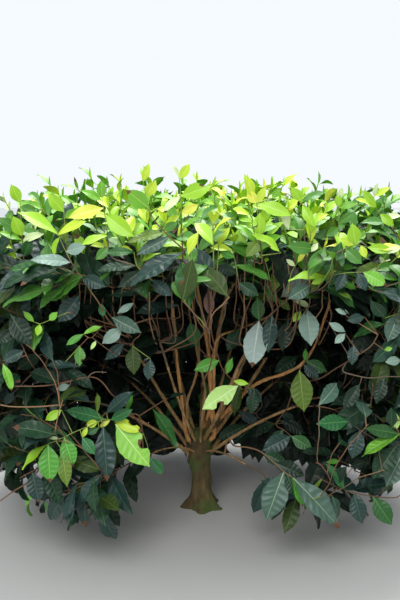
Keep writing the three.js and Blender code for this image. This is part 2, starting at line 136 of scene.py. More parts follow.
class Slot(Enum):
    """The record's material slots."""

    BARK = "bark"
    STEMS = "stems"
    YOUNG = "young_leaves"
    MATURE = "mature_leaves"
    BRIGHT = "bright_leaves"


def linear(color: str) -> tuple[float, ...]:
    """A colour as light values.

    Args:
        color: Six hexadecimal digits as a screen shows them.

    Returns:
        Red, green, blue and a full alpha.
    """
    shown = [int(color[i : i + 2], 16) / 255 for i in (0, 2, 4)]
    light = [c / 12.92 if c <= 0.04045 else ((c + 0.055) / 1.055) ** 2.4 for c in shown]
    return (light[0], light[1], light[2], 1.0)


def fill(tree: bpy.types.NodeTree, node: bpy.types.Node, sockets: dict[str, object]) -> bpy.types.Node:
    """Sets the sockets of a node.

    Args:
        tree: The node's tree.
        node: The node.
        sockets: For each socket, its value, or the socket of another node that feeds it.

    Returns:
        The node.
    """
    for name, value in sockets.items():
        if isinstance(value, bpy.types.NodeSocket):
            tree.links.new(value, node.inputs[name])
        else:
            node.inputs[name].default_value = value
    return node


def added(tree: bpy.types.NodeTree, kind: str, sockets: dict[str, object], **settings: str) -> bpy.types.Node:
    """A new node.

    Args:
        tree: The tree that gets it.
        kind: Its type.
        sockets: What its sockets are set to, or fed by.
        settings: Its own settings.

    Returns:
        The node.
    """
    node = tree.nodes.new("ShaderNode" + kind)
    for name, value in settings.items():
        setattr(node, name, value)
    return fill(tree, node, sockets)


def new_material(name: str, sockets: dict[str, object]) -> bpy.types.Material:
    """A new material.

    Args:
        name: Its name.
        sockets: Values for its shader's own sockets.

    Returns:
        The material.
    """
    material = bpy.data.materials.new(name)
    material.use_nodes = True
    fill(material.node_tree, material.node_tree.nodes["Principled BSDF"], sockets)
    return material


@dataclass(frozen=True)
class LeafTint:
    """One plain tint of a leaf's blade and midrib, with its gloss."""

    name: str
    blade: str
    midrib: str
    roughness: float = 0.42
    wax: float = 0.0
    shine: float = 0.5
    wax_roughness: float = 0.24

    def materials(self) -> list[bpy.types.Material]:
        """The blade's material and the midrib's."""
        return [self.painted("", self.blade), self.painted("_midrib", self.midrib)]

    def painted(self, ending: str, color: str) -> bpy.types.Material:
        """One material of this tint.

        Args:
            ending: What its name adds to the tint's.
            color: Its colour.

        Returns:
            The material.
        """
        gloss = {"Roughness": self.roughness, "Specular IOR Level": self.shine}
        coat = {"Coat Weight": self.wax, "Coat Roughness": self.wax_roughness}
        return new_material("leaf_" + self.name + ending, {"Base Color": linear(color), **gloss, **coat})


@dataclass(frozen=True)
class BarkFinish:
    """Procedural bark: a ground colour with darker and lighter patches, fine cracks, and moss or lichen."""

    name: str
    ground: str
    dark: str
    light: str
    patch: str
    patch_share: float
    grain_scale: float
    roughness: float
    stretch: Triple = (1.0, 1.0, 0.35)
    mottle_share: float = 0.45
    crack_depth: float = 0.0012

    def material(self) -> bpy.types.Material:
        """The bark's material, whose patterns read Object coordinates.

        Returns:
            The material.
        """
        material = new_material(self.name, {"Roughness": self.roughness})
        tree = material.node_tree
        place = added(tree, "TexCoord", {}).outputs["Object"]
        stretched = added(tree, "Mapping", {"Vector": place, "Scale": self.stretch}).outputs["Vector"]
        grain = self.pattern(tree, stretched, self.grain_scale, 5.0)
        mottle = self.pattern(tree, stretched, self.grain_scale / 5, 3.0)
        moss = self.pattern(tree, place, self.grain_scale / 4, 4.0)
        mixed = added(tree, "Mix", {"Factor": self.mottle_share, "A": grain, "B": mottle}, data_type="FLOAT")
        tone = added(tree, "ValToRGB", {"Fac": mixed.outputs["Result"]})
        first, last = tone.color_ramp.elements
        first.position, first.color = 0.3, linear(self.dark)
        last.position, last.color = 0.72, linear(self.light)
        tone.color_ramp.elements.new(0.5).color = linear(self.ground)
        half = self.patch_share / 2
        cover = added(tree, "MapRange", {"From Min": 0.62 - half, "From Max": 0.7 - half, "Value": moss})
        layers = {"Factor": cover.outputs["Result"], "A": tone.outputs["Color"], "B": linear(self.patch)}
        paint = added(tree, "Mix", layers, data_type="RGBA")
        bump = added(tree, "Bump", {"Strength": 0.55, "Distance": self.crack_depth, "Height": grain})
        surface = {"Base Color": paint.outputs["Result"], "Normal": bump.outputs["Normal"]}
        fill(tree, tree.nodes["Principled BSDF"], surface)
        return material

    @staticmethod
    def pattern(
        tree: bpy.types.NodeTree, vector: bpy.types.NodeSocket, scale: float, detail: float
    ) -> bpy.types.NodeSocket:
        """A noise pattern of so many features a metre and so many finer layers."""
        return added(tree, "TexNoise", {"Scale": scale, "Detail": detail, "Vector": vector}).outputs["Fac"]


YOUNG_TINTS = [
    LeafTint("sunlit_yellow", "D6DC50", "E8EE98", 0.45),
    LeafTint("flush_yellow", "B6D233", "D4E478", 0.45),
    LeafTint("flush_lime", "92C425", "BCDA62", 0.42),
    LeafTint("flush_green", "6AA628", "9CC858", 0.4),
    LeafTint("flush_deep", "467E28", "76A048", 0.4),
    LeafTint("flush_pale", "C4D69C", "DCE8BC", 0.5),
]
FRESH_TINTS = [
    LeafTint("fresh_pale", "B2DA7C", "D4ECAC", 0.45, 0.1, 0.4),
    LeafTint("fresh_bright", "86C248", "BEE082", 0.45, 0.1, 0.4),
    LeafTint("fresh_light", "74B63A", "ACD878", 0.45, 0.1, 0.4),
    LeafTint("fresh_green", "4C922E", "84BA5C", 0.45, 0.12, 0.35),
    LeafTint("fresh_deep", "2B6A38", "609A52", 0.45, 0.15, 0.3),
]
MATURE_TINTS = [
    LeafTint("grass_green", "4A8030", "86AE54", 0.45, 0.1, 0.3),
    LeafTint("middle_green", "2E5C2C", "5E8C48", 0.45, 0.14, 0.25),
    LeafTint("blue_green", "2A4A3A", "568254", 0.45, 0.16, 0.25),
    LeafTint("olive_light", "5E7A2A", "8CA04A", 0.5, 0.08, 0.3),
    LeafTint("olive_green", "33461C", "5A6A32", 0.5, 0.08, 0.2),
    LeafTint("bottle_green", "1D3C26", "42643A", 0.45, 0.16, 0.2),
    LeafTint("deep_green", "172C1E", "345232", 0.45, 0.16, 0.2),
    LeafTint("slate_green", "253E38", "48664E", 0.42, 0.2, 0.25),
    LeafTint("grey_green", "435F51", "869C78", 0.42, 0.16, 0.3),
    LeafTint("shade_green", "101D14", "203020", 0.5, 0.1, 0.2),
    LeafTint("withered", "A07C74", "8A6A5C", 0.75),
    # The next two tints are painted sky reflection: pale grey-greens, the second paler still, that stand for
    # the sheen on leaves turned up to the sky.
    LeafTint("mist_green", "829E90", "AABCA2", 0.42, 0.16, 0.35),
    LeafTint("glazed_green", "98ACA4", "C4D2C4", 0.42, 0.16, 0.4),
]
SCORCHED = LeafTint("scorched", "5E4028", "5E4028", 0.8)


def tint_names(tints: list[LeafTint]) -> list[str]:
    """The names of some tints, in their order."""
    return [tint.name for tint in tints]


# The crown.


@dataclass
class CrownShape:
    """The crown's outline, as in the part's source."""

    top: float = 870.0
    belly: float = 430.0
    skirt: float = 60.0
    half_width: float = 640.0
    half_depth: float = 560.0
    shoulder: float = 4.0
    tuck: float = 0.34
    fan: np.ndarray = field(default_factory=lambda: np.array([0.0, 0.0, 140.0]))

    def reach(self, points: np.ndarray) -> np.ndarray:
        """How far out points are.

        Args:
            points: Rows of points.

        Returns:
            For each, 0 on the crown's axis and 1 on its outline.
        """
        across = np.hypot(points[..., 0] / self.half_width, points[..., 1] / self.half_depth)
        height = points[..., 2]
        rise = np.clip((height - self.belly) / (self.top - self.belly), 0, None)
        upper = (across**self.shoulder + rise**self.shoulder) ** (1 / self.shoulder)
        drop = np.clip((self.belly - height) / self.belly, 0, 1)
        return np.where(height >= self.belly, upper, across / (1 - self.tuck * drop**2))

    def profile(self, lowest: float, steps: int = 300) -> np.ndarray:
        """The outline from the middle of the top down.

        Args:
            lowest: The height at which it ends.
            steps: How many points each of its two halves gets.

        Returns:
            Rows of a share of the half width and a height.
        """
        turn = np.linspace(0, math.pi / 2, steps, endpoint=False)
        across, rise = np.sin(turn) ** (2 / self.shoulder), np.cos(turn) ** (2 / self.shoulder)
        upper = np.stack([across, self.belly + rise * (self.top - self.belly)], axis=1)
        drop = np.linspace(0, self.belly - lowest, steps, endpoint=False)
        lower = np.stack([1 - self.tuck * (drop / self.belly) ** 2, self.belly - drop], axis=1)
        return np.vstack([upper, lower])


@dataclass
class Mass:
    """One mass of foliage and the stem that carries it, with the values of the part's source."""

    name: str
    toward: np.ndarray
    stem: float
    thick: float
    thin: float
    start: float
    sag: float


def all_masses() -> list[Mass]:
    """The masses, as in the part's source.

    Returns:
        The masses, each from a row of its name, the azimuth and elevation at which it lies, its stem's
        length, two diameters and height of its foot, and how far the stem sags.
    """
    rows = [
        ("crest", 60, 85, 335, 15, 8.5, 172, 0),
        ("table_front_left", 240, 58, 318, 9.5, 6.4, 150, 0.1),
        ("table_front_right", 300, 58, 300, 13, 7.4, 158, 0.1),
        ("table_right", 360, 58, 330, 14, 7.6, 146, 0.1),
        ("table_back_right", 420, 58, 310, 12, 7, 156, 0.1),
        ("table_back_left", 480, 58, 325, 14, 7.6, 148, 0.1),
        ("table_left", 540, 58, 305, 13, 7.2, 154, 0.1),
        ("skirt_left", 203, 32, 262, 11, 6.6, 112, -0.1),
        ("skirt_right", 337, 32, 282, 10, 6.4, 118, -0.1),
        ("skirt_back_right", 36, 32, 270, 12, 6.8, 108, -0.1),
        ("skirt_back", 90, 32, 258, 11, 6.6, 116, -0.1),
        ("skirt_back_left", 144, 32, 272, 12, 6.8, 110, -0.1),
        ("low_left", 235, 17, 205, 6.4, 4.6, 134, -0.16),
        ("low_right", 302, 9, 190, 6.4, 4.6, 142, -0.14),
        ("hanging_front", 271, 43, 352, 7, 4.2, 132, -0.16),
    ]
    return [Mass(name, direction(azimuth, rise), *rest) for name, azimuth, rise, *rest in rows]


@dataclass
class Limb:
    """A limb as rows of x, y, z and radius, from its foot to its tip."""

    name: str
    rows: np.ndarray


@dataclass
class Eye:
    """The camera at the photograph's place: 2 m in front of the trunk, at the height of the table."""

    place: Triple = (-7.0, -2000.0, 864.0)
    pitch: float = math.radians(9.5)
    lens: float = 50.0
    long_side: float = 36.0

    @property
    def focal(self) -> float:
        """The lens's focal length in pixels of the photograph."""
        return self.lens / self.long_side * IMAGE_SIZE[1]

    def point(self, across: float, down: float, depth: float) -> np.ndarray:
        """The point that a pixel of the photograph shows at some depth.

        Args:
            across: The pixel's place from the left.
            down: Its place from the top.
            depth: The point's Y, in millimetres.

        Returns:
            The point, in millimetres.
        """
        right = (across - IMAGE_SIZE[0] / 2) / self.focal
        rise = (IMAGE_SIZE[1] / 2 - down) / self.focal
        cosine, sine = math.cos(self.pitch), math.sin(self.pitch)
        ahead, upward = cosine + rise * sine, rise * cosine - sine
        far = (depth - self.place[1]) / ahead
        return np.array([self.place[0] + right * far, depth, self.place[2] + upward * far])

    def route(self, *stations: Station) -> np.ndarray:
        """A limb's rows of x, y, z and radius from rows of a pixel, a depth and a diameter."""
        return np.array([[*self.point(a, b, c), d / 2] for a, b, c, d in stations])

    def pixels(self, points: np.ndarray) -> np.ndarray:
        """Where the photograph would show points.

        Args:
            points: Rows of points, in millimetres.

        Returns:
            For each, its pixel's place from the left and from the top.
        """
        cosine, sine = math.cos(self.pitch), math.sin(self.pitch)
        away = points - np.array(self.place)
        ahead = away[..., 1] * cosine - away[..., 2] * sine
        above = away[..., 1] * sine + away[..., 2] * cosine
        across = IMAGE_SIZE[0] / 2 + self.focal * away[..., 0] / ahead
        return np.stack([across, IMAGE_SIZE[1] / 2 - self.focal * above / ahead], axis=-1)

    def build(self) -> None:
        """Makes the scene's camera."""
        data = bpy.data.cameras.new("eye")
        data.lens, data.sensor_width = self.lens, self.long_side
        data.clip_start, data.clip_end = 0.05, 100.0
        camera = bpy.data.objects.new("eye", data)
        camera.location = Vector(self.place) * MILLIMETRE
        camera.rotation_euler = (math.radians(90) - self.pitch, 0.0, 0.0)
        bpy.context.scene.collection.objects.link(camera)
        bpy.context.scene.camera = camera


# Wood.


def select_only(*pieces: Piece) -> None:
    """Selects these objects and nothing else, and makes the first one active.

    Args:
        pieces: The objects.
    """
    bpy.ops.object.select_all(action="DESELECT")
    for piece in pieces:
        piece.select_set(True)
    bpy.context.view_layer.objects.active = pieces[0]


def apply_modifier(piece: Piece, kind: str, **values: object) -> None:
    """Adds a modifier to a piece and applies it.

    Args:
        piece: The piece.
        kind: The modifier's type.
        values: Its settings.
    """
    select_only(piece)
    modifier = piece.modifiers.new(kind.lower(), kind)
    for name, value in values.items():
        setattr(modifier, name, value)
    bpy.ops.object.modifier_apply(modifier=modifier.name)


def joined(name: str, pieces: list[Piece]) -> Piece:
    """Several pieces as one.

    Args:
        name: The name of the result.
        pieces: What is joined.

    Returns:
        The one piece, with its place in its mesh.
    """
    select_only(*pieces)
    bpy.ops.object.join()
    piece = bpy.context.view_layer.objects.active
    piece.name = piece.data.name = name
    bpy.ops.object.transform_apply(location=True, rotation=True, scale=True)
    return piece


def tube_by_curve(limb: Limb, fineness: int = 3) -> Piece:
    """A limb as a round tube with closed ends, drawn as a curve with a radius at each point.

    Args:
        limb: The limb.
        fineness: How finely it is rounded.

    Returns:
        The tube.
    """
    bpy.ops.object.select_all(action="DESELECT")
    bpy.ops.curve.primitive_nurbs_path_add()
    path = bpy.context.view_layer.objects.active
    path.name = limb.name
    curve = path.data
    curve.splines.clear()
    spline = curve.splines.new("POLY")
    spline.points.add(len(limb.rows) - 1)
    for point, row in zip(spline.points, limb.rows):
        point.co = (*(row[:3] * MILLIMETRE), 1.0)
        point.radius = row[3] * MILLIMETRE
    curve.bevel_depth, curve.bevel_resolution = 1.0, fineness
    curve.use_fill_caps = True
    select_only(path)
    bpy.ops.object.convert(target="MESH")
    return bpy.context.view_layer.objects.active


def roughen(piece: Piece, layers: tuple[Triple, ...]) -> None:
    """Moves a bark's points along their normals by layers of noise, so that it has relief.

    Args:
        piece: The piece of wood.
        layers: Rows of a feature's size, its stretch along Z and its depth, in metres.
    """
    mesh = piece.data
    mesh.update()
    moved = []
    for vertex in mesh.vertices:
        depth = 0.0
        for size, stretch, height in layers:
            at = Vector((vertex.co.x / size, vertex.co.y / size, vertex.co.z / (size * stretch)))
            depth += height * noise.noise(at)
        moved.append(vertex.co + vertex.normal * depth)
    for vertex, place in zip(mesh.vertices, moved):
        vertex.co = place
    mesh.update()


@dataclass
class Trunk:
    """The short knobbly trunk, with its flared foot and the swellings from which its stems spring."""

    height: float = 204.0
    lean: float = -9.0
    shares: tuple[float, ...] = (0, 0.05, 0.14, 0.32, 0.55, 0.74, 0.88, 0.96, 1)
    radii: tuple[float, ...] = (47, 38, 29, 24, 25, 31, 29, 20, 9)
    lobes: int = 5
    flare: float = 0.2
    flare_share: float = 0.22
    sides: int = 32
    lobe_phase: float = 0.6
    gnarls: tuple[Triple, ...] = ((0.07, 3, 9), (0.04, 7, -14))
    collar: tuple[float, float] = (1.7, 0.9)
    voxel: float = 0.0017
    relief: tuple[Triple, ...] = (
        (0.03, 1.8, 0.0035), (0.011, 2.6, 0.0022), (0.0045, 3.0, 0.0012)
    )
    finish: BarkFinish = BarkFinish("trunk_bark", "584A2C", "2B2415", "85714A", "4F5A2B", 0.28, 70.0, 0.9)

    def axis(self, height: float) -> np.ndarray:
        """The middle of the trunk at a height."""
        return np.array([self.lean * math.sin(height / self.height * math.pi / 2), 0.0, height])

    def column(self) -> Piece:
        """The column, drawn up from a disc ring by ring, with its foot flared.

        Returns:
            The column.
        """
        bpy.ops.object.select_all(action="DESELECT")
        foot = self.radii[0] * MILLIMETRE
        bpy.ops.mesh.primitive_circle_add(vertices=self.sides, radius=foot, fill_type="NGON")
        column = bpy.context.view_layer.objects.active
        bpy.ops.object.mode_set(mode="EDIT")
        for i in range(1, len(self.shares)):
            below, here = (self.axis(share * self.height) for share in self.shares[i - 1 : i + 1])
            step = Vector((here - below) * MILLIMETRE)
            bpy.ops.mesh.extrude_region_move(TRANSFORM_OT_translate={"value": step})
            wider = self.radii[i] / self.radii[i - 1]
            bpy.ops.transform.resize(value=(wider, wider, 1.0), center_override=Vector(here * MILLIMETRE))
        bpy.ops.mesh.select_all(action="SELECT")
        bpy.ops.mesh.normals_make_consistent(inside=False)
        bpy.ops.object.mode_set(mode="OBJECT")
        for vertex in column.data.vertices:
            share = vertex.co.z / (self.height * MILLIMETRE)
            middle = self.axis(vertex.co.z / MILLIMETRE) * MILLIMETRE
            around = math.atan2(vertex.co.x - middle[0], -(vertex.co.y - middle[1]))
            fade = max(0.0, 1 - share / self.flare_share)
            gnarl = sum(deep * math.sin(turns * around + twist * share) for deep, turns, twist in self.gnarls)
            wide = (1 + self.flare * fade * math.cos(self.lobes * around + self.lobe_phase)) * (1 + gnarl)
            vertex.co.x = middle[0] + (vertex.co.x - middle[0]) * wide
            vertex.co.y = middle[1] + (vertex.co.y - middle[1]) * wide
        return column

    def build(self, stems: list[Limb]) -> Piece:
        """The trunk fused with a collar round each stem's foot, with bark relief.

        Args:
            stems: The stems that spring from it.

        Returns:
            The finished piece.
        """
        parts = [self.column()]
        for stem in stems:
            rows = stem.rows[: max(3, len(stem.rows) // 5)].copy()
            rows[:, 3] *= np.linspace(*self.collar, len(rows))
            parts.append(tube_by_curve(Limb("collar_" + stem.name, rows)))
        piece = joined("trunk_with_bark", parts)
        apply_modifier(piece, "REMESH", mode="VOXEL", voxel_size=self.voxel)
        apply_modifier(piece, "SMOOTH", factor=0.6, iterations=6)
        roughen(piece, self.relief)
        for vertex in piece.data.vertices:
            vertex.co.z = max(vertex.co.z, 0.0)
        dress(piece, [self.finish.material()])
        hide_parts("trunk")
        return piece


def dress(piece: Piece, materials: list[bpy.types.Material]) -> None:
    """Gives a piece its materials, smooth shading and its place on the plant's body.

    Args:
        piece: The piece.
        materials: The materials, in the order of its faces' numbers.
    """
    for material in materials:
        piece.data.materials.append(material)
    piece.data.polygons.foreach_set("use_smooth", np.ones(len(piece.data.polygons), bool))
    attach(piece, "root")


@dataclass
class Stems:
    """The stems that fan out of the trunk's head, and the finer ones that show in the open front."""

    eye: Eye
    trunk: Trunk
    crown: CrownShape
    masses: list[Mass]
    elbow: tuple[Triple, ...] = ((26, -13, 186), (25, -14, 236), (16, -12, 360))
    knee: float = 0.42
    foot_swell: tuple[float, float] = (0.35, 14.0)
    taper: float = 0.8
    knob_height: float = 0.22
    knob_spacing: float = 44.0
    voxel: float = 0.002
    relief: tuple[Triple, ...] = ((0.02, 2.0, 0.0012), (0.006, 2.6, 0.0007))
    plain: BarkFinish = BarkFinish("stem_bark", "A07C4E", "5C4428", "CCA670", "7E7044", 0.12, 150.0, 0.75)
    warm: BarkFinish = BarkFinish("warm_stem_bark", "C48C52", "7A4E26", "E4B474", "9A8858", 0.08, 150.0, 0.7)
    warm_names: tuple[str, ...] = (
        "bough_crest", "stem_left_straight", "stem_arc", "stem_fork_left", "stem_cross"
    )

    def bough(self, mass: Mass) -> Limb:
        """The stem of one mass, as in the part's source.

        Args:
            mass: The mass that it carries.

        Returns:
            The limb from inside the trunk to the mass.
        """
        foot = self.trunk.axis(mass.start)
        tip = self.crown.fan + mass.toward * mass.stem
        shares = np.linspace(0, 1, 26)
        if mass.name == "crest":
            points = smooth_route([foot, *self.elbow, tip], len(shares))
        else:
            knee = foot + (tip - foot) * self.knee - UP * mass.sag * np.linalg.norm(tip - foot)
            points = bezier(foot, knee, tip, shares)
        swell, fade = self.foot_swell
        thick = mass.thick * (1 + swell * np.exp(-shares * fade))
        radii = (thick + (mass.thin - thick) * shares**self.taper) / 2
        return Limb("bough_" + mass.name, np.column_stack([points, radii]))

    def boughs(self) -> list[Limb]:
        """The stems of all masses."""
        return [self.bough(mass) for mass in self.masses]

    def front_stems(self) -> list[Limb]:
        """The finer stems of the open front, placed by the photograph's pixels.

        Returns:
            The stems, each from inside the trunk's head, or from another stem.
        """
        eye, trunk = self.eye, self.trunk
        head, low = [*trunk.axis(172), 5.0], [*trunk.axis(150), 5.0]
        left_fork, right_fork = [*eye.point(212, 384, -14), 5.5], [*eye.point(212, 372, -14), 5.5]
        routes = [
            ("left_straight", low, (188, 439, -36, 10), (184, 418, -40, 9), (180, 385, -44, 9),
             (177, 360, -50, 8), (175, 330, -60, 8), (172, 300, -70, 7)),
            ("hooked", head, (201, 432, -30, 8), (204, 411, -36, 7), (205, 388, -34, 6),
             (199, 360, -30, 6), (192, 330, -26, 5), (188, 300, -22, 5)),
            ("forked_left", head, (190, 426, -10, 9), (187, 403, -6, 8), (196, 375, -2, 7),
             (199, 345, 4, 6), (194, 312, 8, 5), (196, 285, 12, 5)),
            ("leaning_right", head, (216, 423, -18, 9), (225, 405, -16, 8), (235, 381, -14, 8),
             (244, 361, -10, 7), (252, 335, -2, 6), (262, 300, 10, 5)),
            ("arc", head, (226, 412, -40, 10), (243, 394, -80, 9), (262, 381, -100, 9), (286, 373, -104, 8),
             (303, 363, -108, 8), (314, 347, -112, 7), (322, 326, -116, 7), (330, 300, -120, 6),
             (333, 270, -130, 5)),
            ("cross", head, (213, 395, -30, 8), (214, 360, -44, 7), (218, 338, -60, 6), (236, 330, -76, 5),
             (255, 323, -90, 5), (272, 314, -100, 4), (284, 300, -104, 4)),
            ("fork_left", left_fork, (208, 350, -22, 9), (203, 318, -30, 8), (198, 290, -36, 7),
             (196, 266, -40, 5)),
            ("fork_right", right_fork, (219, 330, -20, 10), (226, 300, -26, 9), (238, 276, -34, 8),
             (252, 258, -44, 6)),
        ]
        limbs = []
        for name, foot, *stations in routes:
            rows = smooth_route([foot, *eye.route(*stations)], 8 * (len(stations) + 1))
            limbs.append(Limb("stem_" + name, rows))
        return limbs

    def build(self, limbs: list[Limb]) -> list[Piece]:
        """All stems as two pieces.

        Args:
            limbs: The stems.

        Returns:
            The stems with weathered bark, and those with warm bark.
        """
        warm = [limb for limb in limbs if limb.name in self.warm_names]
        plain = [limb for limb in limbs if limb.name not in self.warm_names]
        return [
            self.fuse("stems_with_bark", plain, self.plain),
            self.fuse("warm_stems_with_bark", warm, self.warm),
        ]

    def fuse(self, name: str, limbs: list[Limb], finish: BarkFinish) -> Piece:
        """Some stems as one piece, fused where they fork, with knobs and bark relief.

        Args:
            name: The piece's name.
            limbs: The stems, of which the boughs stand for the part's solids.
            finish: Their bark.

        Returns:
            The finished piece.
        """
        parts = []
        for limb in limbs:
            rows = limb.rows.copy()
            steps = np.linalg.norm(np.diff(rows[:, :3], axis=0), axis=1)
            length = np.concatenate([[0], np.cumsum(steps)])
            wave = np.sin(length / self.knob_spacing * 2 * math.pi + len(limb.name))
            rows[:, 3] *= 1 + self.knob_height * np.maximum(0, wave) ** 12
            parts.append(tube_by_curve(Limb(limb.name, rows)))
        piece = joined(name, parts)
        apply_modifier(piece, "REMESH", mode="VOXEL", voxel_size=self.voxel)
        apply_modifier(piece, "SMOOTH", factor=0.5, iterations=3)
        roughen(piece, self.relief)
        dress(piece, [finish.material()])
        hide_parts(*[limb.name for limb in limbs if limb.name.startswith("bough_")])
        return piece


# Growth.


@dataclass
class Twig:
    """A twig as a curve, with its two radii, its mass, whether it ends on the table, and its green length."""

    points: np.ndarray
    foot_radius: float
    tip_radius: float
    length: float
    mass: int
    high: bool
    green: float = 0.0

    def at(self, shares: float | np.ndarray) -> tuple[np.ndarray, np.ndarray]:
        """The points at some shares of its way.

        Args:
            shares: From 0 at its foot to 1 at its tip.

        Returns:
            The points, and how it runs at each of them.
        """
        where = np.asarray(shares) * (len(self.points) - 1)
        low = np.minimum(where.astype(int), len(self.points) - 2)
        ways = self.points[low + 1] - self.points[low]
        return self.points[low] + ways * (where - low)[..., None], unit(ways)


@dataclass
class Growth:
    """The source's rule for shoots: ends that lie evenly in the crown, each reached from the nearest joint.

    A layer of ends has its share of the way out to the outline, the azimuth of its first end, the patch of
    outline for each end on the table and on the sides, and how many degrees off the front stay bare.
    """

    crown: CrownShape
    masses: list[Mass]
    boughs: list[Limb]
    limbs: list[Limb]
    high: float = 680.0
    window_height: float = 600.0
    window_half_angle: float = 20.0
    lowest: float = 104.0
    layers: tuple[tuple[float, float, float, float, float], ...] = (
        (0.92, 20.0, 4700.0, 7000.0, 0.0),
        (0.83, 75.0, 9500.0, 9000.0, 0.0),
        (0.87, 310.0, 60000.0, 9000.0, 75.0),
        (0.72, 140.0, 24000.0, 9000.0, 42.0),
        (0.58, 190.0, 60000.0, 11000.0, 60.0),
        (0.42, 250.0, 90000.0, 13000.0, 85.0),
        (0.95, 115.0, 90000.0, 8500.0, 105.0),
        (0.66, 20.0, 90000.0, 12000.0, 100.0),
    )
    steps: int = 7
    tip_radius: float = 1.1
    swell: float = 0.0065
    crook: float = 0.012
    spread: Triple = (14.0, 14.0, 12.0)
    sink: Triple = (14.0, 74.0, 0.6)
    efforts: tuple[float, float] = (160.0, 0.4)
    least_lengths: tuple[float, float] = (150.0, 80.0)
    least_turn: float = 0.03
    branch_shares: tuple[float, ...] = (0.28, 0.52, 0.76)
    tries: int = 6
    limb_gap: float = 1.5
    too_far: float = 1e6

    def __post_init__(self) -> None:
        """Gathers the limbs as balls, for the tests that keep twigs and leaves off them."""
        rows = np.vstack([limb.rows for limb in self.limbs])
        self.ball_places, self.ball_radii = rows[:, :3], rows[:, 3]
        self.random = np.random.default_rng(4)

    def near_limb(self, points: np.ndarray) -> float:
        """The least distance from some points to any limb's surface."""
        away = np.linalg.norm(points[:, None] - self.ball_places, axis=2) - self.ball_radii
        return float(away.min())

    def in_window(self, points: np.ndarray) -> np.ndarray:
        """Whether points lie in the open stretch of the front, where the stems show."""
        off_front = np.degrees(np.arctan2(np.abs(points[..., 0]), -points[..., 1]))
        return (off_front < self.window_half_angle) & (points[..., 2] < self.window_height)

    def owner(self, points: np.ndarray) -> np.ndarray:
        """The number of the mass to whose space each point belongs."""
        toward = np.array([mass.toward for mass in self.masses])
        return np.argmax((points - self.crown.fan) @ toward.T, axis=1)

    def ends(self) -> np.ndarray:
        """The ends of all shoots: in each layer one spiral by the golden angle, from the top down.

        Returns:
            Rows of points.
        """
        profile = self.crown.profile(self.lowest)
        mean = (self.crown.half_width + self.crown.half_depth) / 2
        ends = []
        for share, start, table_patch, side_patch, bare in self.layers:
            due, placed = 0.5, 0
            for (last_across, last_height), (across, height) in zip(profile[:-1], profile[1:]):
                step = math.hypot((across - last_across) * mean, height - last_height)
                out = share if height > self.crown.belly else 1
                z = self.crown.belly + (height - self.crown.belly) * out
                patch = table_patch if z > self.high else side_patch
                due += 2 * math.pi * across * mean * step * share**2 / patch
                while placed + 1 < due:
                    azimuth = start + placed * GOLDEN_ANGLE
                    placed += 1
                    off_front = abs((azimuth + 90 + 180) % 360 - 180)
                    if z < self.window_height and off_front < max(bare, self.window_half_angle):
                        continue
                    around = direction(azimuth, 0) * across * share
                    ends.append([around[0] * self.crown.half_width, around[1] * self.crown.half_depth, z])
        return np.array(ends)

    def grow(self) -> list[Twig]:
        """The twigs of all masses, whose ends lie a little off the layers, and sunk at the table.

        Returns:
            The twigs, mass by mass.
        """
        ends = self.ends()
        shuffle = self.random.normal(size=ends.shape) * np.array(self.spread)
        least, more, power = self.sink
        sunk = least + self.random.random(len(ends)) ** power * more
        shuffle[:, 2] -= np.where(ends[:, 2] > self.high, sunk, 0)
        ends = ends + shuffle
        owners = self.owner(ends)
        twigs: list[Twig] = []
        for number in range(len(self.masses)):
            twigs.extend(self.grow_mass(number, ends[owners == number]))
        return twigs

    def grow_mass(self, number: int, ends: np.ndarray) -> list[Twig]:
        """The twigs of one mass.

        Args:
            number: Which mass.
            ends: The ends of its shoots.

        Returns:
            Its twigs, of which the first carries on from the bough.
        """
        bough = self.boughs[number].rows
        base, heading = bough[-1, :3], unit(bough[-1, :3] - bough[-2, :3])
        way = ends - base
        by_turn, by_way = self.efforts
        turns = np.arccos(np.clip(unit(way) @ heading, -1, 1))
        effort = turns * by_turn + np.linalg.norm(way, axis=1) * by_way
        joints, headings = np.array([base]), np.array([heading])
        along, radii = np.array([0.0]), np.array([bough[-1, 3]])
        shares = np.array(self.branch_shares)
        twigs: list[Twig] = []
        for end in ends[np.argsort(effort)]:
            ways = end - joints
            lengths = np.linalg.norm(ways, axis=1)
            turns = np.einsum("ij,ij->i", unit(ways), headings)
            least = self.least_lengths[0 if end[2] > self.high else 1]
            unfit = (lengths < least) | (turns < self.least_turn)
            cost = lengths + 0.5 * along + np.where(unfit, self.too_far, 0)
            for pick in np.argsort(cost)[: self.tries]:
                if cost[pick] > self.too_far / 10:
                    break
                twig = self.twig_to(number, joints[pick], headings[pick], radii[pick], end, not twigs)
                if self.near_limb(twig.points[2:]) < twig.foot_radius + self.limb_gap and twigs:
                    continue
                places, runs = twig.at(shares)
                joints, headings = np.vstack([joints, places]), np.vstack([headings, runs])
                along = np.concatenate([along, along[pick] + shares * twig.length])
                thinner = twig.foot_radius + (twig.tip_radius - twig.foot_radius) * shares
                radii = np.concatenate([radii, thinner])
                twigs.append(twig)
                break
        return twigs

